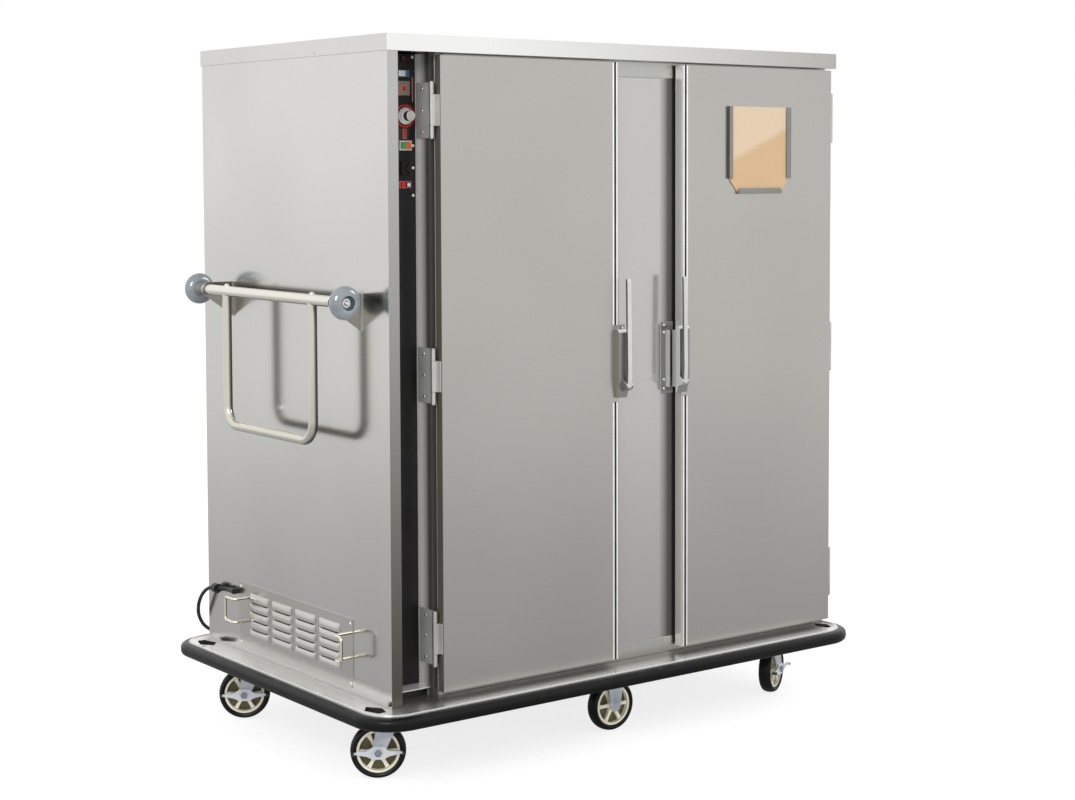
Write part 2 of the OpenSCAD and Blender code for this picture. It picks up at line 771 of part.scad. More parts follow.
// Round bumpers on the ends of the bar, each with a sunk screw
module push_bumpers() color([0.55, 0.6, 0.64]) placed() {
  puck(bar_y - bar_l / 2, 1);
  puck(bar_y + bar_l / 2, -1);
}

module puck(y, way) {
  r = puck_d / 2;
  round = puck_t / 2;
  sink = 12;
  translate([-bar_out, y, bar_z]) rotate([90 * way, 0, 0]) {
    difference() {
      rotate_extrude($fn = 72) {
        square([r - round, puck_t]);
        translate([r - round, round]) circle(r = round);
      }
      translate([0, 0, puck_t - sink]) cylinder(h = sink + 1, r1 = 12, r2 = 17);
    }
    translate([0, 0, puck_t - sink]) cylinder(h = 2, r = 10, $fn = 32);
    translate([0, 0, puck_t - sink + 2]) cylinder(h = 4, r1 = 6, r2 = 4.5, $fn = 24);
  }
}

// Hanging loop of bent tube, bolted up to the bar
module push_loop() color("silver") placed() {
  half = loop_w / 2;
  top = bar_z;
  bottom = bar_z - loop_drop;
  difference() {
    translate([-bar_out, bar_y, 0]) {
      for (s = [-1, 1]) {
        translate([0, s * half, bottom + loop_r]) cylinder(h = top - bottom - loop_r, r = loop_d / 2);
        translate([0, s * (half - loop_r), bottom + loop_r]) rotate([0, 0, s > 0 ? 90 : -90])
          rotate([-90, 0, 0]) rotate_extrude(angle = 90, $fn = 64)
            translate([loop_r, 0]) circle(r = loop_d / 2, $fn = 32);
      }
      bar_y([0, -half + loop_r, bottom], loop_w - 2 * loop_r, loop_d / 2);
    }
    bar_y([-bar_out, bar_y - loop_w, bar_z], 2 * loop_w, bar_d / 2 + press_gap);
  }
  difference() {
    for (s = [-1, 1]) translate([-bar_out, bar_y + s * half, bar_z + bar_d / 2]) {
      translate([0, 0, -4]) cylinder(h = 6, r = 7, $fn = 32);
      translate([0, 0, 2]) cylinder(h = 4, r1 = 6, r2 = 3.5, $fn = 32);
    }
    bar_y([-bar_out, bar_y - loop_w, bar_z], 2 * loop_w, bar_d / 2 + press_gap);
  }
}

// Strike plates on the mullion, each with a raised lip and screws
module latch_strikes() color("lightgray") placed() {
  strike();
  mirrored() strike();
}

module strike() {
  x = door_x1;
  span_box([x + 4, body_y0 - 2, latch_z0 - 4], [x + 42, body_y0, latch_z1 + 8]);
  span_box([x + 24, body_y0 - 18, latch_z0 + 12], [x + 27, body_y0 - 2, latch_z1 - 12]);
  for (z = [latch_z0 + 8, latch_z0 + 30, latch_z1 - 18, latch_z1])
    screw_front([x + 33, body_y0 - 2, z], 3.5);
}

// Frame halves of the hinges with their pins
module frame_hinge_leaves() color("silver") placed() {
  for (z = hinge_zs) {
    frame_leaf(z);
    mirrored() frame_leaf(z);
    hinge_pin(z);
    mirrored() hinge_pin(z);
  }
}

module frame_leaf(z) {
  half = hinge_l / 2;
  mid = mid_knuckle_l / 2;
  difference() {
    union() {
      for (s = [-1, 1]) translate([0, 0, z + s * (half + mid) / 2]) {
        translate([pin_x, pin_back, 0])
          cylinder(h = half - mid - end_gap, r = knuckle_d / 2, center = true);
        translate([body_x0 - leaf_t, pin_back, -(half - mid - end_gap) / 2])
          cube([leaf_t, body_y0 - pin_back + 1, half - mid - end_gap]);
      }
      span_box([body_x0 - leaf_t, body_y0 - 3, z - half], [body_x0, body_y0 + leaf_w, z + half]);
    }
    translate([pin_x, pin_back, z])
      cylinder(h = hinge_l + 10, r = hinge_pin_d / 2 + press_gap, center = true);
  }
}

module hinge_pin(z) {
  translate([pin_x, pin_back, z]) {
    cylinder(h = hinge_l - end_gap + 2 * pin_gap, r = hinge_pin_d / 2, center = true);
    for (s = [-1, 1]) translate([0, 0, s * ((hinge_l - end_gap) / 2 + pin_gap + 1)])
      cylinder(h = 2, r = hinge_pin_d / 2 + 1.5, center = true);
  }
}

// Door halves of the hinges, on the hinged edge of the door
module door_leaves() {
  for (z = hinge_zs) difference() {
    union() {
      translate([pin_x, pin_back, z])
        cylinder(h = mid_knuckle_l - end_gap, r = knuckle_d / 2, center = true);
      span_box([door_x0 - leaf_t, door_y0 + 2, z - (mid_knuckle_l - end_gap) / 2],
               [door_x0, door_y1 - 2, z + (mid_knuckle_l - end_gap) / 2]);
      span_box([pin_x, pin_back - knuckle_d / 2, z - (mid_knuckle_l - end_gap) / 2],
               [door_x0 - leaf_t / 2, pin_back - knuckle_d / 2 + leaf_t, z + (mid_knuckle_l - end_gap) / 2]);
    }
    translate([pin_x, pin_back, z])
      cylinder(h = hinge_l, r = hinge_pin_d / 2 + pin_gap, center = true);
  }
}

// Door skin: a pan that is open at its back, grooved beside the free edge
module door_skin() {
  difference() {
    span_box([door_x0, door_y0, door_z0], [door_x1, door_y1 - sheet, door_z1]);
    span_box([door_x0 + skin_t, door_y0 + skin_t, door_z0 + skin_t],
             [door_x1 - skin_t, door_y1, door_z1 - skin_t]);
    for (z = [[door_z0 - 1, latch_z0 - 10], [latch_z1 + 10, door_z1 + 1]])
      span_box([door_x1 - groove_in - groove_w, door_y0 - 1, z[0]],
               [door_x1 - groove_in, door_y0 + skin_t - 1, z[1]]);
  }
}

// Insulated core with the inner sheet, pressed out as a shallow pan
module door_liner() {
  span_box([door_x0 + skin_t, door_y0 + skin_t, door_z0 + skin_t],
           [door_x1 - skin_t, door_y1 - sheet, door_z1 - skin_t]);
  span_box([door_x0, door_y1 - sheet, door_z0], [door_x1, door_y1, door_z1]);
}

// Seal ring on the back of the door
module door_seal() {
  a = seal_in;
  b = seal_in + seal_w;
  difference() {
    span_box([door_x0 + a, door_y1, door_z0 + a], [door_x1 - a, door_y1 + seal_t, door_z1 - a]);
    span_box([door_x0 + b, door_y1 - 1, door_z0 + b], [door_x1 - b, door_y1 + seal_t + 1, door_z1 - b]);
  }
}

// Latch housing with a bevelled foot, two ears and the nose that meets the strike
module latch_body() {
  x0 = door_x1 - 12;
  x1 = lever_x + lever_w / 2 + 0.4 + 3;
  face = latch_face_y;
  rotate([90, 0, 90]) translate([0, 0, x0]) linear_extrude(height = x1 - x0)
    polygon([[door_y0, latch_z0 + 2], [door_y0, latch_z1], [face + 5, latch_z1], [face, latch_z1 - 7],
             [face, latch_z0 + 44], [face + 10, latch_z0]]);
  span_box([door_x1 + 0.5, door_y0 - 2, latch_z0 + 12], [door_x1 + 13, door_y1 - 3, latch_z1 - 12]);
  for (x = [lever_x - lever_w / 2 - 3.4, lever_x + lever_w / 2 + 0.4])
    rotate([90, 0, 90]) translate([0, 0, x]) linear_extrude(height = 3) {
      translate([lever_y, lever_z]) circle(r = 8);
      polygon([[lever_y, lever_z + 8], [face + 4, lever_z + 14],
               [face + 10, lever_z - 14], [lever_y, lever_z - 8]]);
    }
  bar_x([lever_x - lever_w / 2 - 3, lever_y, lever_z], lever_w + 6, lever_pin_d / 2);
}

// Long lever with a hub on the pivot and a slightly bowed grip
module latch_lever() {
  difference() {
    union() {
      bar_x([lever_x - lever_w / 2, lever_y, lever_z], lever_w, 7);
      translate([lever_x, lever_y, lever_z]) rotate([90, 0, 90])
        linear_extrude(height = lever_w, center = true) polygon([
          [-6, -3], [-8, 0.14 * lever_l], [-7, 0.55 * lever_l], [-5, 0.97 * lever_l], [-3, lever_l],
          [1, lever_l], [2, 0.97 * lever_l], [0, 0.55 * lever_l], [-1, 0.14 * lever_l], [5, 3]
        ]);
    }
    bar_x([lever_x - lever_w, lever_y, lever_z], 2 * lever_w, lever_pin_d / 2 + pin_gap);
  }
}

module left_door_skin() color([0.73, 0.73, 0.7]) placed() door_skin();
module left_door_liner() color("silver") placed() door_liner();
module left_door_seal() color([0.2, 0.2, 0.2]) placed() door_seal();
module left_latch_body() color("lightgray") placed() latch_body();
module left_latch_lever() color("gainsboro") placed() latch_lever();
module left_hinge_leaves() color("silver") placed() door_leaves();
module right_door_skin() color([0.7, 0.7, 0.67]) placed() mirrored() door_skin();
module right_door_liner() color("silver") placed() mirrored() door_liner();
module right_door_seal() color([0.2, 0.2, 0.2]) placed() mirrored() door_seal();
module right_latch_body() color("lightgray") placed() mirrored() latch_body();
module right_latch_lever() color("gainsboro") placed() mirrored() latch_lever();
module right_hinge_leaves() color("silver") placed() mirrored() door_leaves();

// Card with two slanted lower corners
module card_outline(inset) {
  w = card_w / 2 - inset;
  rise = 1.2 * card_cut;
  polygon([[-w, inset + rise], [-w + card_cut, inset], [w - card_cut, inset],
           [w, inset + rise], [w, card_h], [-w, card_h]]);
}

// Card holder: two side channels and a bottom channel, each folded round the card
module card_holder() color("darkgray") placed() card_frame() {
  w = card_w / 2;
  side = card_h - 1.2 * card_cut - 2;
  card_channel([w, card_h - side], side, 0);
  card_channel([-w, card_h], side, 180);
  card_channel([-w + card_cut + 2, 0], 2 * (w - card_cut - 2), -90);
}

// Channel that runs up from a point, open to its left, with its lip turned in
module card_channel(from, l, turn) {
  bend = 0.55 * card_lip;
  translate(from) rotate([0, 0, turn]) translate([0, l, 0]) rotate([90, 0, 0]) linear_extrude(height = l)
    polygon([[-card_lip, 0], [0, 0], [0, card_d], [-bend, card_d], [-card_lip, card_d - 2 * card_wall],
             [-card_lip, card_d - 3 * card_wall], [-bend, card_d - card_wall],
             [-card_wall, card_d - card_wall], [-card_wall, card_wall], [-card_lip, card_wall]]);
}

module card_frame() {
  x = 2 * body_mid - (door_x0 + door_x1) / 2;
  translate([x, door_y0, door_z1 - card_down - card_h]) rotate([90, 0, 0]) children();
}

module menu_card() color([0.88, 0.75, 0.6]) placed() {
  card_frame() translate([0, 0, card_wall]) linear_extrude(height = card_wall) card_outline(2);
}

// Plates, upper races and swivel pins of the turning casters, and the fixed forks
module caster_mounts() color("silver") placed() {
  for (x = [swivel_x0, swivel_x1], y = [swivel_y0, swivel_y1]) translate([x, y, 0]) swivel_mount();
  for (y = [swivel_y0, swivel_y1]) translate([fixed_x, y, 0]) fixed_fork();
}

module swivel_mount() {
  span_box([-46, -52, caster_h - 4], [46, 52, caster_h]);
  translate([0, 0, crown_z + crown_t + 9]) cylinder(h = caster_h - 4 - crown_z - crown_t - 9, r = 28);
  translate([0, 0, crown_z - 7]) cylinder(h = caster_h - crown_z + 3, r = king_d / 2);
  translate([0, 0, crown_z - 7]) cylinder(h = 7 - end_gap, r = king_d / 2 + 4);
}

// Side plate of a fork, from the crown to the axle
module fork_leg(offset) {
  z = wheel_d / 2;
  translate([0, leg_t / 2, 0]) rotate([90, 0, 0]) linear_extrude(height = leg_t) {
    translate([offset, z]) circle(r = 15);
    polygon([[-24 + offset / 3, crown_z + crown_t], [26 + offset / 3, crown_z + crown_t],
             [offset + 15, z], [offset - 15, z]]);
  }
}

// Axle with nuts outside the fork
module fork_axle(offset, reach) {
  z = wheel_d / 2;
  bar_y([offset, -reach, z], 2 * reach, axle_d / 2);
  for (s = [-1, 1]) translate([offset, s * (reach + 2.5), z]) rotate([90, 0, 0])
    cylinder(h = 5, r = axle_d / 2 + 4, center = true, $fn = 6);
}

module fixed_fork() {
  for (s = [-1, 1]) translate([0, s * (leg_in + leg_t / 2), 0]) fork_leg(0);
  span_box([-32, -leg_out, crown_z], [32, leg_out, crown_z + crown_t]);
  span_box([-30, -leg_in, crown_z + crown_t - 1], [30, leg_in, caster_h - 3]);
  span_box([-46, -52, caster_h - 4], [46, 52, caster_h]);
  fork_axle(0, leg_out);
}

// Swivel fork in its own frame: swivel axis at the origin, wheel out along +X
module swivel_fork(side) {
  difference() {
    union() {
      span_box([-30, -leg_out, crown_z], [36, leg_out, crown_z + crown_t]);
      translate([0, 0, crown_z + crown_t - 0.5]) cylinder(h = 9, r = 32);
      for (s = [-1, 1]) translate([0, s * (leg_in + leg_t / 2), 0]) fork_leg(trail);
    }
    translate([0, 0, crown_z - 1]) cylinder(h = 30, r = king_d / 2 + pin_gap);
  }
  translate([0, side * brake_t / 2, 0]) fork_axle(trail, leg_out + brake_t / 2 + 0.4);
}

// Wheel round its axle at the origin: bored hub with spokes and a rim, and the tyre on it
module wheel() {
  rim_r = 50;
  r = wheel_d / 2;
  rotate([90, 0, 0]) {
    difference() {
      union() {
        cylinder(h = tyre_w + 4, r = 14, center = true);
        difference() {
          cylinder(h = tyre_w - 8, r = rim_r - press_gap, center = true);
          cylinder(h = tyre_w, r = rim_r - 7, center = true);
        }
        cylinder(h = 6, r = rim_r - 4, center = true);
        for (a = [0 : 60 : 359]) rotate([0, 0, a])
          translate([rim_r / 2, 0, 0]) cube([rim_r - 10, 7, tyre_w - 12], center = true);
      }
      cylinder(h = tyre_w + 10, r = axle_d / 2 + pin_gap, center = true);
    }
    rotate_extrude($fn = 96) polygon([
      [rim_r, -tyre_w / 2 + 3], [rim_r + 4, -tyre_w / 2], [r - 5, -tyre_w / 2], [r - 1.5, -tyre_w / 2 + 3],
      [r, -tyre_w / 4], [r, tyre_w / 4], [r - 1.5, tyre_w / 2 - 3], [r - 5, tyre_w / 2],
      [rim_r + 4, tyre_w / 2], [rim_r, tyre_w / 2 - 3]
    ]);
  }
}

// Foot brake lever on the axle, outside the fork, with a tread at each end
module brake_lever(side) {
  z = wheel_d / 2;
  arm = 56;
  tread = 12;
  y0 = side > 0 ? leg_out + 0.3 : -leg_out - 0.3 - brake_t;
  translate([trail, 0, z]) difference() {
    union() {
      translate([0, y0 + brake_t, 0]) rotate([90, 0, 0]) linear_extrude(height = brake_t) {
        circle(r = 14);
        polygon([[-arm, -2], [-26, -8], [-12, -15], [12, -15], [26, -8], [arm, -2],
                 [arm, 2], [24, 5], [12, 14], [-12, 14], [-24, 5], [-arm, 2]]);
      }
      for (s = [-1, 1])
        span_box([s > 0 ? arm - 2 : -arm - 4, side > 0 ? y0 : y0 + brake_t - tread, -3],
                 [s > 0 ? arm + 4 : -arm + 2, side > 0 ? y0 + tread : y0 + brake_t, 3]);
    }
    bar_y([0, y0 - 1, 0], brake_t + 2, axle_d / 2 + pin_gap);
  }
}

module at_caster(x, y, turn) {
  placed() translate([x, y, 0]) rotate([0, 0, turn]) children();
}

module at_axle(offset) { translate([offset, 0, wheel_d / 2]) children(); }
module turning_wheel(x, y, turn) at_caster(x, y, turn) at_axle(trail) wheel();

module fork_front_left() color("silver") at_caster(swivel_x0, swivel_y0, front_left_turn) swivel_fork(1);
module fork_front_right() color("silver") at_caster(swivel_x1, swivel_y0, front_right_turn) swivel_fork(-1);
module fork_back_left() color("silver") at_caster(swivel_x0, swivel_y1, back_left_turn) swivel_fork(1);
module fork_back_right() color("silver") at_caster(swivel_x1, swivel_y1, back_right_turn) swivel_fork(-1);
module wheel_front_left() color("dimgray") turning_wheel(swivel_x0, swivel_y0, front_left_turn);
module wheel_front_right() color("dimgray") turning_wheel(swivel_x1, swivel_y0, front_right_turn);
module wheel_back_left() color("dimgray") turning_wheel(swivel_x0, swivel_y1, back_left_turn);
module wheel_back_right() color("dimgray") turning_wheel(swivel_x1, swivel_y1, back_right_turn);
module wheel_front_middle() color("dimgray") at_caster(fixed_x, swivel_y0, 0) at_axle(0) wheel();
module wheel_back_middle() color("dimgray") at_caster(fixed_x, swivel_y1, 0) at_axle(0) wheel();
module brake_front_left() color("white") at_caster(swivel_x0, swivel_y0, front_left_turn) brake_lever(1);
module brake_front_right() color("white") at_caster(swivel_x1, swivel_y0, front_right_turn) brake_lever(-1);
module brake_back_left() color("white") at_caster(swivel_x0, swivel_y1, back_left_turn) brake_lever(1);
module brake_back_right() color("white") at_caster(swivel_x1, swivel_y1, back_right_turn) brake_lever(-1);

// Outlet bush beside the cover, and the round clip that holds the cord to the side
module cord_gland() color([0.1, 0.1, 0.1]) placed() {
  p = cord_route[0];
  clip = cord_route[4];
  r = cord_d / 2;
  translate([p[0], p[1] - gland_l, p[2]]) rotate([-90, 0, 0])
    cylinder(h = gland_l, r1 = r + 2.8, r2 = r + 1);
  span_box([p[0], p[1] - gland_l, p[2] - r - 2], [0, p[1] - gland_l + 8, p[2] + r + 2]);
  difference() {
    union() {
      bar_y([clip[0], clip[1] - 9, clip[2]], 18, r + 7);
      span_box([clip[0], clip[1] - 8, clip[2] - 8], [0, clip[1] + 8, clip[2] + 8]);
    }
    bar_y([clip[0], clip[1] - 20, clip[2]], 40, r + 1.6);
  }
}

// Points between the route's points on a smooth curve through them
function smooth_at(p, i, t) =
  let (a = p[max(i - 1, 0)], b = p[i], c = p[i + 1], d = p[min(i + 2, len(p) - 1)])
  0.5 * (2 * b + (c - a) * t + (2 * a - 5 * b + 4 * c - d) * t * t + (3 * b - a - 3 * c + d) * t * t * t);
function smooth_path(p, n) =
  concat([for (i = [0 : len(p) - 2], k = [0 : n - 1]) smooth_at(p, i, k / n)], [p[len(p) - 1]]);
function unit(v) = v / norm(v);
function tangent(p, i) = unit(p[min(i + 1, len(p) - 1)] - p[max(i - 1, 0)]);
function carried(n, t) = unit(n - (n * t) * t);
function path_length(p) = [for (i = [1 : len(p) - 1]) norm(p[i] - p[i - 1])] * [for (i = [1 : len(p) - 1]) 1];

// A tube of even thickness through the points, with flat ends
module tube(points, r, sides, first_normal) {
  count = len(points);
  tangents = [for (i = [0 : count - 1]) tangent(points, i)];
  normals = [for (i = 0, n = carried(first_normal, tangents[0]); i < count;
             i = i + 1, n = i < count ? carried(n, tangents[i]) : n) n];
  rings = [for (i = [0 : count - 1], k = [0 : sides - 1]) let (a = 360 * k / sides)
    points[i] + r * (cos(a) * normals[i] + sin(a) * cross(tangents[i], normals[i]))];
  faces = concat(
    [[for (k = [sides - 1 : -1 : 0]) k]],
    [for (i = [0 : count - 2], k = [0 : sides - 1], h = [0, 1])
      let (a = i * sides + k, b = i * sides + (k + 1) % sides)
      h == 0 ? [a, b, b + sides] : [a, b + sides, a + sides]],
    [[for (k = [0 : sides - 1]) (count - 1) * sides + k]]
  );
  polyhedron(points = rings, faces = [for (f = faces) [for (k = [len(f) - 1 : -1 : 0]) f[k]]]);
}

cord_points = smooth_path(cord_route, cord_steps);

module power_cord() color([0.08, 0.08, 0.08]) placed() {
  tube(cord_points, cord_d / 2, 10, [0, 0, 1]);
}

// The coil starts at the point nearest the cabinet, winds in along the floor,
// climbs one layer in the half turn about its middle, and winds out on top
function coil_radius(s) = coil_r - coil_pitch * (s <= coil_turns / 2 ? s : coil_turns - s);
function coil_rise(s) = coil_pitch * min(1, max(0, (s - coil_turns / 2 + 0.25) / 0.5));
coil_mid = [coil_x, coil_in_y + coil_r, 0];
coil_points = concat(
  [[coil_x - cord_d, coil_in_y, coil_z]],
  [for (k = [0 : coil_turns * coil_rings]) let (s = k / coil_rings, a = 360 * s - 90)
    coil_mid + [coil_radius(s) * cos(a), coil_radius(s) * sin(a), coil_z + coil_rise(s)]],
  [for (k = [1, 2]) [coil_x + coil_tail * k / 2, coil_in_y, coil_z + coil_pitch]]
);
coil_gap = min([for (i = [0 : len(coil_points) - 1]) min([for (j = [0 : len(coil_points) - 1])
  abs(i - j) > coil_rings / 2 ? norm(coil_points[i] - coil_points[j]) : 100])]) - cord_d;
echo(coil_gap = coil_gap, coil_length = path_length(coil_points), cord_length = path_length(cord_points));

module cord_coil() color([0.08, 0.08, 0.08]) placed() {
  tube(coil_points, cord_d / 2, 6, [0, 0, 1]);
}

// Straight plug that lies beside the coil, with two flat blades and a round earth pin
module plug() color([0.1, 0.1, 0.1]) placed() {
  z = coil_z + coil_pitch;
  x0 = coil_x + coil_tail;
  translate([x0, coil_in_y, z]) rotate([0, 90, 0]) {
    cylinder(h = 25, r1 = cord_d / 2 + 1.5, r2 = 8);
    translate([0, 0, 25]) cylinder(h = 8, r1 = 10, r2 = z);
    translate([0, 0, 33]) cylinder(h = plug_l - 33, r = z);
  }
  for (s = [-1, 1])
    span_box([x0 + plug_l - 1, coil_in_y + s * 6.3 - 0.8, z - 1],
             [x0 + plug_l + 18, coil_in_y + s * 6.3 + 0.8, z + 5]);
  bar_x([x0 + plug_l - 1, coil_in_y, z - 7], 21, 2.4);
}

top_cap();
side_panel();
left_wall();
right_wall();
back_wall();
ceiling();
cabinet_floor();
mullion();
base_deck();
bumper_rail();
bumper_strip();
control_panel();
control_fittings();
thermostat_knob();
power_switch();
vent_panel();
module_handles();
blower_housing();
blower_wheel();
heating_element();
wire_shelves();
shelf_posts();
push_bar();
push_bumpers();
push_loop();
latch_strikes();
frame_hinge_leaves();
left_door_skin();
left_door_liner();
left_door_seal();
left_latch_body();
left_latch_lever();
left_hinge_leaves();
right_door_skin();
right_door_liner();
right_door_seal();
right_latch_body();
right_latch_lever();
right_hinge_leaves();
card_holder();
menu_card();
caster_mounts();
fork_front_left();
fork_front_right();
fork_back_left();
fork_back_right();
wheel_front_left();
wheel_front_right();
wheel_back_left();
wheel_back_right();
wheel_front_middle();
wheel_back_middle();
brake_front_left();
brake_front_right();
brake_back_left();
brake_back_right();
cord_gland();
power_cord();
cord_coil();
plug();
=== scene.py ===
"""Heated banquet cabinet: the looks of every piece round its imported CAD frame.

The sections follow the order in which the cabinet is put together. Sizes are in
millimetres from the front left corner of the top cap on the floor, as in the part's
source, and place() turns them into metres from the middle of the whole cabinet.
"""

import json
import math

import bmesh
import bpy
from mathutils import Matrix, Vector

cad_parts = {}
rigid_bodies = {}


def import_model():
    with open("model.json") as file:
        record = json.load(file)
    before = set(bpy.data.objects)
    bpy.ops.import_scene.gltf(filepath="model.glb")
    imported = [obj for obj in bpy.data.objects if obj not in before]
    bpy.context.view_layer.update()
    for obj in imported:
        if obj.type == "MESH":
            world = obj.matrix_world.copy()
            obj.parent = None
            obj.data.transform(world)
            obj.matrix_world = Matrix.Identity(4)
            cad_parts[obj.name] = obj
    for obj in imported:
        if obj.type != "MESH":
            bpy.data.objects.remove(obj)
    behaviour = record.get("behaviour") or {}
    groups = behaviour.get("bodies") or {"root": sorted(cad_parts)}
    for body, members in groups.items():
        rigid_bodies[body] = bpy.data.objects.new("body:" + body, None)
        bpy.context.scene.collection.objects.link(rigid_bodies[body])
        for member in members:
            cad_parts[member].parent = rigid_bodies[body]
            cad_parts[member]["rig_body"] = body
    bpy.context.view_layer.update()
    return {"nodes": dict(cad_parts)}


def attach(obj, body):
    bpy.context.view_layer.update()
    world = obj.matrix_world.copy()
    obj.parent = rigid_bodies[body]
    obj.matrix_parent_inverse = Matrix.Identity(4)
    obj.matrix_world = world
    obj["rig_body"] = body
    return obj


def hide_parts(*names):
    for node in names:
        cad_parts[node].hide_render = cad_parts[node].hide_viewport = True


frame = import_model()
scene = bpy.context.scene


# --- Camera -------------------------------------------------------------------
# Camera at standing eye height, looking past the front left corner. The small shift
# only frames the cabinet as the photograph does.
middle_x, middle_y = 637.5, 426.5


def place(x, y, z):
    """Metres from the cabinet's middle, for millimetres from the cap's corner."""
    return Vector(((x - middle_x) / 1000, (y - middle_y) / 1000, z / 1000))


def put(name, data):
    """A new object in the scene, from its mesh, curve, lamp or camera data."""
    made = bpy.data.objects.new(name, data)
    scene.collection.objects.link(made)
    return made


eye = (-2.9579, -4.1724, 1.3858)
yaw, pitch, roll = 0.6695, 0.0611, -0.0008
ahead = Vector((math.sin(yaw) * math.cos(pitch), math.cos(yaw) * math.cos(pitch), -math.sin(pitch)))
aside = Vector((math.cos(yaw), -math.sin(yaw), 0))
over = aside.cross(ahead)
camera = put("camera", bpy.data.cameras.new("camera"))
camera.data.sensor_width, camera.data.lens = 36, 67.22
camera.data.shift_x, camera.data.shift_y = -0.0767, -0.1014
camera.data.clip_start, camera.data.clip_end = 0.1, 200
turn = Matrix((aside, over, -ahead)).transposed().to_4x4()
camera.matrix_world = Matrix.Translation(eye) @ turn @ Matrix.Rotation(roll, 4, "Z")
scene.camera = camera
scene.view_settings.view_transform = "Standard"


# --- Power cord ---------------------------------------------------------------
# Round black rubber-sheathed mains lead, 9 mm thick. It leaves the side behind the
# louvred cover, hangs behind the deck and is put away there in a two-layer coil.
def srgb(text):
    """Linear colour of an sRGB hex value."""
    parts = [int(text[i : i + 2], 16) / 255 for i in (1, 3, 5)]
    return tuple(p / 12.92 if p <= 0.04045 else ((p + 0.055) / 1.055) ** 2.4 for p in parts) + (1.0,)


def add(tree, kind, inputs=None, **settings):
    """Adds a node with its settings and links. A node among the inputs gives its first
    output, and a list links all its nodes to one socket."""
    made = tree.nodes.new(kind)
    for key, value in settings.items():
        setattr(made, key, value)
    for key, values in (inputs or {}).items():
        for value in values if isinstance(values, list) else [values]:
            if isinstance(value, bpy.types.Node):
                value = next(socket for socket in value.outputs if socket.enabled)
            if isinstance(value, bpy.types.NodeSocket):
                tree.links.new(value, made.inputs[key])
            else:
                made.inputs[key].default_value = value
    return made


def finish_start(name, **inputs):
    """A material with one Principled shader and its plain inputs, ready for a pattern."""
    material = bpy.data.materials.new(name)
    material.use_nodes = True
    shader = material.node_tree.nodes["Principled BSDF"]
    for key, value in inputs.items():
        shader.inputs[key.replace("_", " ")].default_value = value
    return material, material.node_tree, shader


def two_tone(tree, shader, pattern, light, dark, spread=(0.35, 0.65)):
    """Colour that drifts between two tones along a pattern: a random drift, as on handled surfaces, or
    painted light and shade where the pattern follows place or facing.
    """
    drift = {"Value": pattern, "From Min": spread[0], "From Max": spread[1]}
    drift = add(tree, "ShaderNodeMapRange", drift)
    mixed = add(tree, "ShaderNodeMix", {"Factor": drift}, data_type="RGBA")
    mixed.inputs["A"].default_value, mixed.inputs["B"].default_value = srgb(dark), srgb(light)
    tree.links.new(mixed.outputs["Result"], shader.inputs["Base Color"])


def object_noise(tree, size_mm, detail=3.0, stretch=(1, 1, 1)):
    """Noise whose patches are about size_mm wide on the real piece."""
    scaled = {"Vector": add(tree, "ShaderNodeTexCoord").outputs["Object"]}
    scaled["Scale"] = tuple(1000 / size_mm / s for s in stretch)
    scaled = add(tree, "ShaderNodeMapping", scaled)
    return add(tree, "ShaderNodeTexNoise", {"Vector": scaled, "Scale": 1.0, "Detail": detail})


def uneven_gloss(tree, shader, pattern, low, high):
    """Roughness that drifts between two values."""
    limits = {"Value": pattern, "From Min": 0.3, "From Max": 0.7, "To Min": low, "To Max": high}
    spread = add(tree, "ShaderNodeMapRange", limits)
    tree.links.new(spread.outputs["Result"], shader.inputs["Roughness"])


def raised(tree, shader, pattern, height_mm, strength=1.0):
    """Fine relief, height_mm deep on the real piece."""
    relief = {"Height": pattern, "Distance": height_mm / 1000, "Strength": strength}
    bump = add(tree, "ShaderNodeBump", relief)
    tree.links.new(bump.outputs["Normal"], shader.inputs["Normal"])


def moulded(name, light, dark, low, high, grain_mm=1.5, height_mm=0.03, metallic=0.0, coat=0.0, gleam=0.5):
    """A moulded or painted surface: two near tones, uneven gloss and a fine grain."""
    shine = {"Specular_IOR_Level": gleam, "Metallic": metallic, "Coat_Weight": coat}
    material, tree, shader = finish_start(name, **shine)
    two_tone(tree, shader, object_noise(tree, 60), light, dark)
    uneven_gloss(tree, shader, object_noise(tree, 25), low, high)
    raised(tree, shader, object_noise(tree, grain_mm), height_mm)
    return material


# Neoprene sheath, extruded and slightly matt: near black, with one soft line of light.
cord_rubber = moulded("cord_neoprene", "#1D1D1E", "#121213", 0.42, 0.6, grain_mm=2.0, height_mm=0.02)


def smooth_route(points, steps):
    """Catmull-Rom points through a route."""
    out = []
    for i in range(len(points) - 1):
        a, b, c, d = (Vector(points[max(0, min(k, len(points) - 1))]) for k in (i - 1, i, i + 1, i + 2))
        for k in range(steps):
            t = k / steps
            bend = (2 * a - 5 * b + 4 * c - d) * t**2 + (3 * b - a - 3 * c + d) * t**3
            out.append(0.5 * (2 * b + (c - a) * t + bend))
    return out + [Vector(points[-1])]


cord_route = [
    (-13, 742, 338), (-13, 760, 338), (-13, 777, 336), (-14, 792, 333), (-14, 808, 331),
    (-14, 826, 330), (-17, 852, 322), (-20, 876, 303), (-20, 895, 275), (-14, 906, 245),
    (0, 907, 218), (22, 903, 201), (48, 898, 195), (85, 896, 195), (130, 898, 195),
    (180, 895, 195), (225, 897, 195), (262, 905, 198), (290, 922, 202), (310, 943, 195),
    (322, 956, 168), (328, 961, 125), (333, 962, 80), (344, 960, 38), (366, 957, 12),
    (394, 956, 5), (411, 956, 5),
]
cord_mm = 9.0
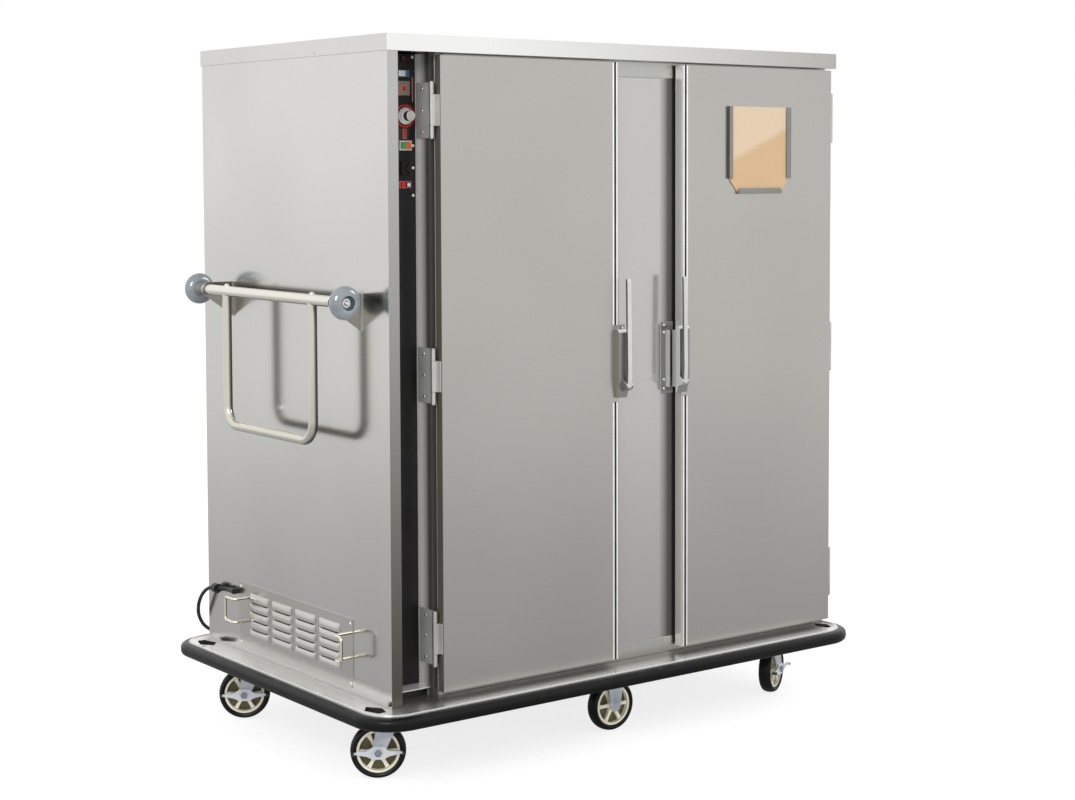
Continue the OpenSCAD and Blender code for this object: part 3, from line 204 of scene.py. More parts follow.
# The coil lies on the floor. It winds inward, climbs to a second layer half way and
# winds out again; then its end runs to the plug.
coil_x, coil_y, coil_z = 420, 1024, 5
coil_turns, coil_pitch, coil_radius, turn_steps = 6, 9.8, 68.0, 36
cord_line = smooth_route(cord_route, 4)
for k in range(coil_turns * turn_steps + 1):
    turns = k / turn_steps
    angle = math.radians(360 * turns - 90)
    r = coil_radius - coil_pitch * min(turns, coil_turns - turns)
    rise = coil_pitch * min(1, max(0, (turns - 2.75) / 0.5))
    cord_line.append(Vector((coil_x + r * math.cos(angle), coil_y + r * math.sin(angle), coil_z + rise)))
cord_line += [Vector((441, 956, 14.8)), Vector((462, 956, 14.8))]
cord_line = [place(*p) for p in cord_line]
cord_curve = bpy.data.curves.new("power_cord_run", "CURVE")
cord_curve.dimensions = "3D"
cord_curve.bevel_depth = cord_mm / 2000
cord_curve.bevel_resolution = 4
cord_curve.use_fill_caps = True
run = cord_curve.splines.new("POLY")
run.points.add(len(cord_line) - 1)
for point, at in zip(run.points, cord_line):
    point.co = (*at, 1)
run.use_smooth = True
cord = put("power_cord_run", cord_curve)
cord.data.materials.append(cord_rubber)
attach(cord, "cabinet")
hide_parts("power_cord", "cord_coil")


# --- Coil tie, plug and outlet bush -------------------------------------------
# A hook-and-loop strap holds the stored coil together. The moulded plug has flat
# blades and a round earth pin, and a rubber bush and a round clip hold the cord up.
def shade(mesh, angle):
    """Smooth shading up to an angle in degrees between two faces."""
    mesh.polygons.foreach_set("use_smooth", [True] * len(mesh.polygons))
    mesh.set_sharp_from_angle(angle=math.radians(angle))


def bake(piece):
    """Applies the modifiers, so that the piece is one plain mesh."""
    mesh = bpy.data.meshes.new_from_object(piece.evaluated_get(bpy.context.evaluated_depsgraph_get()))
    piece.modifiers.clear()
    piece.data = mesh
    mesh.name = piece.name


def finish_piece(piece, body, smooth):
    """Shading, and the body that the piece moves with."""
    shade(piece.data, smooth)
    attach(piece, body)
    return piece


def mesh_piece(name, make, materials, body="cabinet", smooth=40, round_mm=0, steps=2):
    """A new piece from bmesh code in millimetres, with its hard edges rounded."""
    work = bmesh.new()
    make(work)
    bmesh.ops.remove_doubles(work, verts=work.verts, dist=0.001)
    if round_mm:
        hard = [e for e in work.edges if len(e.link_faces) == 2 and e.calc_face_angle() > 0.5]
        bevel = {"offset": round_mm, "segments": steps, "profile": 0.5, "affect": "EDGES"}
        bmesh.ops.bevel(work, geom=hard, clamp_overlap=True, **bevel)
    bmesh.ops.recalc_face_normals(work, faces=work.faces)
    for vert in work.verts:
        vert.co = place(*vert.co)
    mesh = bpy.data.meshes.new(name)
    work.to_mesh(mesh)
    work.free()
    piece = put(name, mesh)
    for material in materials:
        mesh.materials.append(material)
    return finish_piece(piece, body, smooth)


def skin_rows(work, rings, closed_ring=True, closed_run=True, index=0):
    """Skins rows of points into quads; rings is a list of rows of equal length."""
    rows = [[work.verts.new(p) for p in row] for row in rings]
    count, length = len(rows), len(rows[0])
    for i in range(count if closed_run else count - 1):
        for k in range(length if closed_ring else length - 1):
            a, b = rows[i], rows[(i + 1) % count]
            work.faces.new((a[k], a[(k + 1) % length], b[(k + 1) % length], b[k])).material_index = index
    if not closed_run:
        work.faces.new(rows[0]).material_index = index
        work.faces.new(reversed(rows[-1])).material_index = index


def coil_strap(work):
    """Flat band round the bundle of turns, 14 mm wide, with rounded upper corners."""
    inner, outer, low, high, thick, half = 33.5, 73.0, 0.45, 19.8, 0.4, 7
    corners = [(inner, low), (outer, low), (outer, high), (inner, high)]
    rings = []
    for i, (r, z) in enumerate(corners):
        for bend in range(4):
            t = math.radians((i - 2) * 90 + bend * 30)
            round_r = 0.0 if i < 2 else 2.0
            cr = r + (round_r if i in (0, 3) else -round_r)
            cz = z + (round_r if i in (0, 1) else -round_r)
            row = []
            for way, side in ((0, -half), (0, half), (1, half), (1, -half)):
                reach = round_r + way * thick
                row.append((coil_x - cr - reach * math.cos(t), coil_y + side, cz + reach * math.sin(t)))
            rings.append(row)
    skin_rows(work, rings)


# Nylon hook-and-loop webbing, woven: quite matt, with a coarse weave that stands up.
webbing = moulded("hook_and_loop_nylon", "#26262A", "#17171A", 0.7, 0.9, grain_mm=1.2, height_mm=0.15)
coil_tie = mesh_piece("coil_tie", coil_strap, [webbing])


def eased(name, width_mm, material, segments=2, angle=32):
    """Copy of a CAD node with its doubles merged, its flat parts joined and its
    edges broken by a small round, as folding, grinding or moulding leaves them."""
    source = frame["nodes"][name]
    work = bmesh.new()
    work.from_mesh(source.data)
    bmesh.ops.remove_doubles(work, verts=work.verts, dist=2e-6)
    bmesh.ops.dissolve_limit(work, angle_limit=math.radians(0.7), verts=work.verts, edges=work.edges)
    mesh = bpy.data.meshes.new(name + "_finished")
    work.to_mesh(mesh)
    work.free()
    shade(mesh, angle + 12)
    piece = put(name + "_finished", mesh)
    if width_mm:
        bevel = piece.modifiers.new("edge", "BEVEL")
        bevel.width, bevel.segments = width_mm / 1000, segments
        bevel.limit_method, bevel.angle_limit = "ANGLE", math.radians(angle)
        bevel.use_clamp_overlap = True
        flats = piece.modifiers.new("flats", "WEIGHTED_NORMAL")
        flats.keep_sharp = True
        bake(piece)
    piece.data.materials.clear()
    piece.data.materials.append(material)
    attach(piece, source["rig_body"])
    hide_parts(name)
    return piece


def refinish(piece, material, where):
    """Gives another finish to the faces whose middle passes the test, in millimetres."""
    piece.data.materials.append(material)
    index = len(piece.data.materials) - 1
    for face in piece.data.polygons:
        at = face.center
        if where(at.x * 1000 + middle_x, at.y * 1000 + middle_y, at.z * 1000, face.normal):
            face.material_index = index


# Flexible PVC, injection moulded over the wires: black with a dull shine.
plug_black = moulded("plug_pvc", "#1F1F21", "#141416", 0.35, 0.5)
# Nickel-plated brass blades, stamped: pale and smooth.
blade_nickel = moulded("plug_blade_nickel", "#D9D4C8", "#CDC8BB", 0.16, 0.26, metallic=1.0)
plug_face_x = 532.5
plug = eased("plug", 0.5, plug_black)
refinish(plug, blade_nickel, lambda x, y, z, n: x > plug_face_x)
eased("cord_gland", 0.6, plug_black)


# --- Stage --------------------------------------------------------------------
# Plain pale floor and soft studio light. The floor meets a background of its own tone, and the steel mirrors
# a second floor, seen only in reflections, with painted shade that darkens it near the cabinet.
def stage_plane(name, size, height, material):
    """A level plane under the cabinet that belongs to the studio only."""
    bpy.ops.mesh.primitive_plane_add(size=size, location=(0, 0, height))
    plane = bpy.context.object
    plane.name = name
    plane.data.materials.append(material)
    return plane


floor_size = 120
# Matt white paint under even light: no sheen, and it runs into the background.
unlit = {"Specular_IOR_Level": 0.0, "Emission_Color": srgb("#FFFFFF")}
floor_paint = finish_start(
    "studio_floor_paint", Base_Color=srgb("#9C9C9C"), Roughness=0.9, Emission_Strength=0.8, **unlit
)
floor = stage_plane("studio_floor", floor_size, 0.0, floor_paint[0])
floor.visible_glossy = False
# The floor as the steel mirrors it: a glowing plane with painted shade, grey at the cabinet's foot, paler
# far off.
mirrored_floor_painted_shade, tree, shader = finish_start(
    "studio_floor_seen_in_steel", Base_Color=srgb("#000000"), **unlit
)
away = {0: add(tree, "ShaderNodeTexCoord").outputs["Object"]}
away = add(tree, "ShaderNodeVectorMath", away, operation="LENGTH")
far = {"Value": away, "From Min": 1.6, "From Max": 8.0, "To Min": 0.48, "To Max": 0.84}
near = {"Value": away, "From Min": 0.5, "From Max": 1.1, "To Min": 0.3, "To Max": 1.0}
graded = {0: add(tree, "ShaderNodeMapRange", far), 1: add(tree, "ShaderNodeMapRange", near)}
graded = add(tree, "ShaderNodeMath", graded, operation="MULTIPLY")
tree.links.new(graded.outputs["Value"], shader.inputs["Emission Strength"])
mirror_floor = stage_plane("studio_floor_seen_in_steel", floor_size, -0.001, mirrored_floor_painted_shade)
mirror_floor.visible_camera = mirror_floor.visible_diffuse = mirror_floor.visible_shadow = False

# White all round for the camera; the light it gives leans to the upper back left.
world = bpy.data.worlds.new("studio")
scene.world = world
world.use_nodes = True
sky = world.node_tree
sky.nodes.clear()
direction = add(sky, "ShaderNodeTexCoord").outputs["Generated"]
lean = add(sky, "ShaderNodeVectorMath", {0: direction, 1: (-0.5, 0.5, 0.4)}, operation="DOT_PRODUCT")
around = {"Value": lean, "From Min": -0.85, "From Max": 0.85, "To Min": 0.87, "To Max": 0.98}
around = add(sky, "ShaderNodeMapRange", around)
seen = add(sky, "ShaderNodeLightPath").outputs["Is Camera Ray"]
level = add(sky, "ShaderNodeMix", {"Factor": seen, "A": around, "B": 1.0}, data_type="FLOAT")
backdrop = add(sky, "ShaderNodeBackground", {"Color": (1, 1, 1, 1), "Strength": level})
add(sky, "ShaderNodeOutputWorld", {"Surface": backdrop})


def softbox(name, at, aim, width, height, power, mirrored=False):
    """Soft rectangular lamp, aimed at a point; mirrored lamps also show in the steel."""
    data = bpy.data.lights.new(name, "AREA")
    data.shape, data.size, data.size_y, data.energy = "RECTANGLE", width, height, power
    lamp = put(name, data)
    lamp.location = at
    lamp.rotation_euler = (Vector(aim) - Vector(at)).to_track_quat("-Z", "Y").to_euler()
    lamp.visible_glossy = mirrored


softbox("key_softbox", (-4.4, -3.6, 3.6), (0, 0, 0.9), 2.2, 1.8, 110, mirrored=True)
softbox("front_softbox", (2.9, -5.2, 2.7), (0, 0, 0.9), 3.4, 2.8, 75)


# --- Insulated body -----------------------------------------------------------
# Walls, ceiling and floor are insulated panels with stainless skins. The outer face of the left wall closes
# the control recess; it is brushed across, and its tone there is painted shade.
def brushed(name, light, dark, low=0.22, high=0.26, along="z", waves_mm=0.1, metallic=1.0):
    """Stainless sheet: fine satin grain, a slow drift of tone and a slight waviness.

    The real grain is some 0.1 mm wide; it is drawn at 1.6 mm, to show at all."""
    material, tree, shader = finish_start(name, Metallic=metallic)
    stretch = {"x": (60, 1, 1), "y": (1, 60, 1), "z": (1, 1, 60)}[along]
    two_tone(tree, shader, object_noise(tree, 420, detail=1.0), light, dark)
    uneven_gloss(tree, shader, object_noise(tree, 1.6, detail=2.0, stretch=stretch), low, high)
    raised(tree, shader, object_noise(tree, 380, detail=0.5), waves_mm, 0.6)
    return material


def across(name, axis, light, dark, light_mm, dark_mm, low, high, metallic):
    """Sheet whose tone runs from light to dark between two planes of the cabinet."""
    material, tree, shader = finish_start(name, Metallic=metallic)
    spot = add(tree, "ShaderNodeTexCoord").outputs["Object"]
    spot = add(tree, "ShaderNodeSeparateXYZ", {"Vector": spot}).outputs[axis]
    planes = [place(mm, mm, mm)["XYZ".index(axis)] for mm in (dark_mm, light_mm)]
    two_tone(tree, shader, spot, light, dark, spread=planes)
    uneven_gloss(tree, shader, object_noise(tree, 1.6, detail=2.0, stretch=(1, 1, 60)), low, high)
    return material


# Upright satin grain: a soft sheen that darkens toward the floor.
lining_steel = brushed("satin_stainless_lining", "#C8C8C4", "#C5C5C1", 0.3, 0.33, waves_mm=0.05)
# Unpolished stainless in the recess, with painted shade: pale beside the control panel, dark at its mouth.
recess_wall_painted_shade = across("stainless_recess_wall_painted_shade", "Y", "#E9E7E2", "#454440", 80, 50, 0.5, 0.6, 0.0)
# The same sheet on the wall's front edge, with painted shade dark where it meets the recess.
front_edge_painted_shade = across("stainless_front_edge_painted_shade", "X", "#C6C6C2", "#4A4A47", 150, 143, 0.4, 0.5, 0.3)
wall_side_x, wall_front_y, wall_inner_x = 132, 36, 170
for name in ("left_wall", "right_wall", "back_wall", "ceiling", "cabinet_floor"):
    wall = eased(name, 0.8, lining_steel)
    if name == "left_wall":
        refinish(wall, recess_wall_painted_shade, lambda x, y, z, n: n.x < -0.9 and x < wall_side_x + 1.5)
        refinish(
            wall, front_edge_painted_shade,
            lambda x, y, z, n: n.y < -0.2 and y < wall_front_y + 4 and x < wall_inner_x + 2,
        )

# --- Centre post --------------------------------------------------------------
# Wide folded post that both doors close on: bright rolled stainless, smoother than the doors, with a painted
# dark band along one side that stands in for the shade and mirrored image of the right door's edge.

# Bright rolled finish: clear soft reflections and hardly any grain.
mullion_steel = brushed("bright_rolled_stainless", "#E0DFDC", "#D8D7D3", 0.14, 0.18, metallic=0.8)
# Its front, with painted shade: pale on the left and darkening toward the right door.
mullion_front_painted_shade = across(
    "rolled_stainless_front_painted_shade", "X", "#C8C7C4", "#646466", 794, 824, 0.15, 0.18, 0.85
)
mullion = eased("mullion", 1.2, mullion_steel)
refinish(mullion, mullion_front_painted_shade, lambda x, y, z, n: n.y < -0.9 and y < wall_front_y + 4)

# --- Outer left side ----------------------------------------------------------
# One folded sheet: front post, flat side and back return. The side is smooth enough to show soft images of
# the push bar; the post's face carries painted shade, darker toward the floor.

# Satin stainless, polished enough for blurred shadows and images to show in it.
side_steel = brushed("satin_stainless_side", "#DBDAD7", "#D6D5D2", 0.17, 0.19)
# The narrow post face: satin, with painted shade darkening it from the top to the foot.
post_face_painted_shade = across("stainless_post_face_painted_shade", "Z", "#C4C4C2", "#6E6960", 1560, 260, 0.24, 0.28, 0.95)
post_width = 28
side_panel = eased("side_panel", 0.7, side_steel)
refinish(side_panel, post_face_painted_shade, lambda x, y, z, n: n.y < -0.9 and x < post_width + 2 and y < 10)

# --- Top cap ------------------------------------------------------------------
# Folded cap with a turned-down edge and a return lip, held by a rivet on its side.
# Its top is a brushed sheet that catches most of the light.

# Satin stainless brushed lengthwise: pale, with a broad soft sheen.
cap_steel = brushed("satin_stainless_cap", "#D9D8D4", "#D1D0CB", 0.2, 0.24, along="x")
cap = eased("top_cap", 1.2, cap_steel, segments=3)
refinish(cap, side_steel, lambda x, y, z, n: n.x < -0.9 and x < 3)
# The front edge has painted light: bright toward the left end and darker toward the right.
cap_width = 1359
cap_front_painted_light = across(
    "stainless_cap_front_painted_light", "X", "#FDFDFB", "#BFBDB8", 250, cap_width, 0.18, 0.22, 0.95
)
refinish(cap, cap_front_painted_light, lambda x, y, z, n: n.y < -0.5 and y < 3)


def node_group(name, **inputs):
    """A Geometry Nodes tree with named inputs for its sizes and its material."""
    tree = bpy.data.node_groups.new(name, "GeometryNodeTree")
    tree.interface.new_socket(name="Geometry", in_out="INPUT", socket_type="NodeSocketGeometry")
    for key, value in inputs.items():
        kind = "Vector" if isinstance(value, tuple) else "Int" if isinstance(value, int) else "Float"
        label = key.replace("_", " ")
        socket = tree.interface.new_socket(name=label, in_out="INPUT", socket_type="NodeSocket" + kind)
        socket.default_value = value
    tree.interface.new_socket(name="Material", in_out="INPUT", socket_type="NodeSocketMaterial")
    tree.interface.new_socket(name="Geometry", in_out="OUTPUT", socket_type="NodeSocketGeometry")
    return tree, add(tree, "NodeGroupInput").outputs


def close_tree(tree, given, geometry):
    """Ends a tree: its instances made real, with the material on them."""
    real = add(tree, "GeometryNodeRealizeInstances", {"Geometry": geometry})
    coat = {"Geometry": real, "Material": given["Material"]}
    add(tree, "NodeGroupOutput", {"Geometry": add(tree, "GeometryNodeSetMaterial", coat)})


def grow(name, tree, base, material, body="cabinet", slot=None, smooth=40, **values):
    """Runs a tree on a base mesh, (points, edges) in metres, and keeps a plain mesh."""
    points, edges = base[:2]
    mesh = bpy.data.meshes.new(name)
    mesh.from_pydata(points, edges, [])
    if len(base) > 2:
        facing = mesh.attributes.new("facing", "FLOAT_VECTOR", "POINT")
        facing.data.foreach_set("vector", [part for way in base[2] for part in way])
    piece = put(name, mesh)
    form = piece.modifiers.new("form", "NODES")
    form.node_group = tree
    values = {key.replace("_", " "): value for key, value in values.items()}
    for socket in tree.interface.items_tree:
        if socket.item_type == "SOCKET" and socket.in_out == "INPUT":
            if socket.name == "Material":
                form[socket.identifier] = material
            elif socket.name in values:
                form[socket.identifier] = values[socket.name]
    bake(piece)
    work = bmesh.new()
    work.from_mesh(piece.data)
    bmesh.ops.remove_doubles(work, verts=work.verts, dist=1e-6)
    bmesh.ops.recalc_face_normals(work, faces=work.faces)
    work.to_mesh(piece.data)
    work.free()
    return finish_piece(piece, body, smooth)


# Low domed heads of screws and rivets, each set on a point along its own direction.
heads_tree, given = node_group("domed_heads", Radius=0.0035, Height=0.0016)
ball = add(heads_tree, "GeometryNodeMeshUVSphere", {"Segments": 20, "Rings": 10, "Radius": 1.0})
flat = {"X": given["Radius"], "Y": given["Radius"], "Z": given["Height"]}
flat = add(heads_tree, "ShaderNodeCombineXYZ", flat)
dome = add(heads_tree, "GeometryNodeTransform", {"Geometry": ball, "Scale": flat})
way = add(heads_tree, "GeometryNodeInputNamedAttribute", {"Name": "facing"}, data_type="FLOAT_VECTOR")
stand = add(heads_tree, "FunctionNodeAlignRotationToVector", {"Vector": way}, axis="Z")
spread = {"Points": given["Geometry"], "Instance": dome, "Rotation": stand}
spread = add(heads_tree, "GeometryNodeInstanceOnPoints", spread)
close_tree(heads_tree, given, spread)


def fasteners(name, points, way, material, radius, height, body="cabinet"):
    """Domed heads that all face one way, on points in millimetres."""
    base = [place(*p) for p in points], [], [way] * len(points)
    sizes = {"Radius": radius / 1000, "Height": height / 1000}
    grow(name, heads_tree, base, material, body, "bright_steel", **sizes)


# Stainless rivet, drawn cold: pale and a little dull.
rivet_steel = moulded("rivet_stainless", "#D8D7D2", "#C9C8C3", 0.25, 0.35, metallic=1.0)
fasteners("cap_rivet", [(0, 313, 1651)], (-1, 0, 0), rivet_steel, 3.5, 1.4)

# --- Base deck ----------------------------------------------------------------
# Folded deck sheet with a ground and polished rim, cross channels underneath and four kite-shaped hand
# holes. The top has painted shade: dark at the body's foot and brighter toward its rim. The underside is
# painted near black as shade.

# Satin stainless with painted shade, dark at the body's foot and bright at the rim. Each row gives an axis,
# the body's edge on it and the reach of the painted gradient in metres, and its lead.
deck_steel, tree, shader = finish_start("satin_stainless_deck", Metallic=0.9)
body_depth = 885
deck_at = add(tree, "ShaderNodeTexCoord").outputs["Object"]
deck_at = add(tree, "ShaderNodeSeparateXYZ", {"Vector": deck_at}).outputs
body_start, body_end = place(0, 0, 0), place(cap_width, body_depth, 0)
foot_shade_to_rim_light = -1.0
for axis, foot, reach, lead in (
    ("Y", body_start.y, -0.04, 0.0), ("X", body_start.x, -0.1, 0.56),
    ("Y", body_end.y, 0.05, 0.0), ("X", body_end.x, 0.05, 0.0),
):
    edge = deck_at[axis]
    for step, other in (("SUBTRACT", foot), ("DIVIDE", reach), ("ADD", lead)):
        edge = add(tree, "ShaderNodeMath", {0: edge, 1: other}, operation=step)
    foot_shade_to_rim_light = add(tree, "ShaderNodeMath", {0: foot_shade_to_rim_light, 1: edge}, operation="MAXIMUM")
two_tone(tree, shader, foot_shade_to_rim_light, "#F4F3F1", "#9B9994", spread=(0.0, 1.0))
uneven_gloss(tree, shader, object_noise(tree, 60, detail=1.0), 0.27, 0.285)
# Ground and polished stainless, with a painted highlight: a near-white line along the rim.
rim_painted_highlight = brushed("stainless_rim_painted_highlight", "#F7F6F3", "#EFEEEA", 0.12, 0.16, along="x", metallic=0.6)
# Painted shade under the deck: a nearly black, dull sheet.
underside_painted_shade = brushed("deck_underside_painted_shade", "#3A3A3B", "#313132", 0.5, 0.6, along="x", metallic=0.6)
deck_top, deck_mid_x, deck_mid_y = 190, 646.5, 426.5
deck = eased("base_deck", 0.7, deck_steel)
refinish(deck, rim_painted_highlight, lambda x, y, z, n: z > deck_top + 0.4)
refinish(
    deck, underside_painted_shade,
    lambda x, y, z, n: z < deck_top - 0.4
    and ((x - deck_mid_x) * n.x + (y - deck_mid_y) * n.y <= 0.5 or n.z < -0.5),
)


def hole_collars(work):
    """Collar pressed down round each hand hole, so that no raw edge is gripped. It takes the underside's
    painted shade, so the holes look dark.
    """
    kite = [(0, -24), (15, -4), (7, 22), (-7, 22), (-15, -4)]
    for x, y, way, size in ((-30, 24, -1, 1.5), (-30, 829, 1, 1.5), (1319, 0, -1, 1.2), (1319, 853, 1, 1.2)):
        rings = []
        for wider, z in ((1.0, 187.2), (1.0, 170), (1.06, 170), (1.06, 187.2)):
            rings.append([(x + a * size * wider, y + b * way * size * wider, z) for a, b in kite])
        skin_rows(work, rings)


# The collars carry the underside's painted shade.
mesh_piece("hand_hole_collars", hole_collars, [underside_painted_shade])

# --- Bumper -------------------------------------------------------------------
# Aluminium carrier screwed round the deck, with a black vinyl extrusion pressed on:
# rounded nose, sloping upper facet that takes a soft line of light.

# Aluminium extrusion, left in its satin mill finish: a cool, even grey.
rail_metal = brushed("extruded_aluminium_rail", "#C9CACB", "#BDBEC0", 0.3, 0.36, along="x")
eased("bumper_rail", 0.5, rail_metal)
# Black PVC, extruded: smooth, with one soft line of light along its sloping facet.
vinyl = moulded("bumper_vinyl", "#0B0B0C", "#080809", 0.26, 0.32, grain_mm=3.0, height_mm=0.02, gleam=0.25)

tree, given = node_group(
    "strip_round_the_deck", Length=1.421, Width=0.973, Corner_radius=0.075, Middle=(0.009, 0.0, 0.0)
)
ground = {"Width": given["Length"], "Height": given["Width"]}
ground = add(tree, "GeometryNodeCurvePrimitiveQuadrilateral", ground)
corner = {"Curve": ground, "Count": 14, "Radius": given["Corner radius"]}
corner = add(tree, "GeometryNodeFilletCurve", corner, mode="POLY")
level_curve = add(tree, "GeometryNodeSetCurveNormal", {"Curve": corner}, mode="Z_UP")
section = add(tree, "GeometryNodeMeshToCurve", {"Mesh": given["Geometry"]})
along_deck = add(tree, "GeometryNodeCurveToMesh", {"Curve": level_curve, "Profile Curve": section})
moved = {"Geometry": along_deck, "Translation": given["Middle"]}
close_tree(tree, given, add(tree, "GeometryNodeTransform", moved))

# The strip's section from its lower to its upper edge. Its corners are cut twice, which
# rounds them. Each point is a distance from the carrier and a height.
nose = [(14.4, 160), (18.4, 162.8), (20, 168.4), (20, 178.5), (17.6, 183.5), (12, 186.9), (6, 188)]
for _ in range(2):
    cut = [nose[0]]
    for a, b in zip(nose, nose[1:]):
        cut += [tuple((s * p + (4 - s) * q) / 4 for p, q in zip(a, b)) for s in (3, 1)]
    nose = cut + [nose[-1]]
nose = [(0, 160)] + nose + [(0, 188)]
nose_foot = 4
strip = [((nose_foot + out) / 1000, -z / 1000, 0) for out, z in nose]
strip = (strip, [(i, (i + 1) % len(nose)) for i in range(len(nose))])
strip = grow("bumper_strip_sweep", tree, strip, vinyl, slot="bumper_black", smooth=50)
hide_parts("bumper_strip")

# --- Controls -----------------------------------------------------------------
# Black painted panel deep in the recess, closed below by a bright sill. The knob has
# a white skirt and a black grip; the fittings round it are moulded in colour.

# Black stove enamel: deep, with a soft half gloss.
panel_black = moulded("black_stove_enamel", "#1B1B1E", "#121214", 0.3, 0.4)
# Polished stainless strip with a painted highlight: a near-white line under the panel.
sill_painted_highlight = brushed("stainless_sill_painted_highlight", "#FBFBF9", "#F1F1EE", 0.1, 0.14, along="x", metallic=0.4)
sill_low, sill_high = 207.5, 210.5
panel = eased("control_panel", 0.4, panel_black)
refinish(panel, sill_painted_highlight, lambda x, y, z, n: sill_low < z < sill_high)
# Mouldings in clear, plain colours: nylon looks satin, and smoked acrylic is dark and glossy.
trim_grey = moulded("control_trim_nylon", "#3A3A3D", "#2E2E31", 0.3, 0.4)
fittings = eased("control_fittings", 0.4, trim_grey)
lens_brown = moulded("smoked_lens_acrylic", "#4A1A14", "#37110D", 0.08, 0.14, coat=0.6)
bezel_pale = moulded("switch_bezel_nylon", "#D9D8D2", "#CBCAC4", 0.3, 0.4)
plate_beige = moulded("beige_plate_nylon", "#96897C", "#877A6E", 0.35, 0.45)
plate_red = moulded("red_plate_nylon", "#D2301F", "#B92517", 0.3, 0.4)
guard_smoke = moulded("smoked_guard_acrylic", "#26201F", "#1B1716", 0.06, 0.12, coat=0.7)
screw_white = moulded("white_screw_nylon", "#F2F2EF", "#E4E4E0", 0.3, 0.4)
for material, low, high, x_low, x_high in (
    (lens_brown, 1618, 1642, 0, 118), (plate_beige, 1546, 1584, 0, 119),
    (bezel_pale, 1424, 1448.5, 86, 119), (guard_smoke, 1368, 1404, 0, 119),
    (plate_red, 1340, 1357, 0, 103.5), (screw_white, 0, 1700, 121, 140),
):
    refinish(fittings, material, lambda x, y, z, n: low < z < high and x_low < x < x_high)


def small_windows(boxes):
    """Thin raised plates: (x from, x to, z from, z to, front Y, back Y, material index)."""
    sides = (0, 1, 3, 2), (4, 6, 7, 5), (0, 4, 5, 1), (2, 3, 7, 6), (0, 2, 6, 4), (1, 5, 7, 3)

    def make(work):
        for x0, x1, z0, z1, y0, y1, index in boxes:
            corners = [work.verts.new((x, y, z)) for x in (x0, x1) for y in (y0, y1) for z in (z0, z1)]
            for side in sides:
                work.faces.new([corners[k] for k in side]).material_index = index

    return make


# The read-out's face is a pale blue-white film; the red bars are printed enamel.
readout_white = moulded("readout_polyester_film", "#E9F1F6", "#D5E2EC", 0.15, 0.22, coat=0.5)
readout_blue = moulded("readout_polyester_film_blue", "#3E6FA8", "#325E93", 0.15, 0.22, coat=0.5)
enamel_red = moulded("red_enamel_print", "#D8321F", "#C52A19", 0.35, 0.45)
windows = small_windows([
    (87, 105, 1591.5, 1604.5, 91.6, 93, 0), (107, 115, 1591.5, 1604.5, 91.6, 93, 1),
    (95, 107, 1559, 1571, 93.1, 94.2, 2), (124.2, 126.2, 1535, 1590, 94.4, 95.5, 2),
    (99, 108, 1452, 1474, 93.6, 94.6, 2), (89, 120, 1341.5, 1357, 94.0, 95.5, 2),
    (107, 115, 1345, 1353, 89.6, 90.6, 0),
])
films = [readout_white, readout_blue, enamel_red]
mesh_piece("control_windows", windows, films, round_mm=0.3)

# Dial: a red arc round the knob with a row of cross marks on it.
tree, given = node_group(
    "dial_marks", Radius=0.0240, Band=0.0034, Mark_length=0.0072, Marks=15,
    Middle=(0.0, 0.0, 0.0), Turn=(1.5708, 0.0, 0.0),
)
ring = {"Resolution": 48, "Radius": given["Radius"], "Start Angle": 2.36, "Sweep Angle": -4.72}
ring = add(tree, "GeometryNodeCurveArc", ring)
band = add(tree, "GeometryNodeCurvePrimitiveQuadrilateral", {"Width": given["Band"], "Height": 0.0006})
stripe = add(tree, "GeometryNodeCurveToMesh", {"Curve": ring, "Profile Curve": band, "Fill Caps": True})
stops = add(tree, "GeometryNodeCurveToPoints", {"Curve": ring, "Count": given["Marks"]})
mark_size = add(tree, "ShaderNodeCombineXYZ", {"X": given["Mark length"], "Y": 0.0012, "Z": 0.0008})
mark = add(tree, "GeometryNodeMeshCube", {"Size": mark_size})
outward = {"Vector": add(tree, "GeometryNodeInputPosition")}
outward = add(tree, "FunctionNodeAlignRotationToVector", outward, axis="X")
marks = {"Points": stops, "Instance": mark, "Rotation": outward}
marks = add(tree, "GeometryNodeInstanceOnPoints", marks)
dial = add(tree, "GeometryNodeJoinGeometry", {"Geometry": [stripe, marks]})
moved = {"Geometry": dial, "Translation": given["Middle"], "Rotation": given["Turn"]}
close_tree(tree, given, add(tree, "GeometryNodeTransform", moved))
grow(
    "dial_arc", tree, ([(0, 0, 0)], []), enamel_red, slot="panel_plastic", smooth=20,
    Middle=tuple(place(105, 94.8, 1503)),
)
# Glossy white plastic, a satin black grip and a cap with a silvered face.
knob_white = moulded("knob_white_abs", "#F6F6F4", "#ECECE9", 0.22, 0.3, coat=0.3)
knob_black = moulded("knob_grip_nylon", "#19191B", "#121213", 0.3, 0.4)
knob_cap = moulded("knob_cap_silvered_abs", "#F3F3F1", "#E2E2DF", 0.18, 0.26, metallic=0.5)
grip_foot_y, cap_y = 84, 71
knob = eased("thermostat_knob", 0.6, knob_white)
refinish(knob, knob_black, lambda x, y, z, n: y < grip_foot_y and abs(n.y) < 0.7)
refinish(knob, knob_cap, lambda x, y, z, n: y < cap_y)
# The rocker is split across its pivot: green above, orange below.
rocker_colours = across(
    "rocker_nylon_green_and_orange", "X", "#E65A22", "#3F9A4A", 104.2, 103.8, 0.22, 0.3, 0.0
)
eased("power_switch", 0.3, rocker_colours)

# --- Heat module --------------------------------------------------------------
# Louvred stainless cover screwed over the opening low on the left side. The louvres
# are pressed out of the sheet in four columns, open at their lower edge.

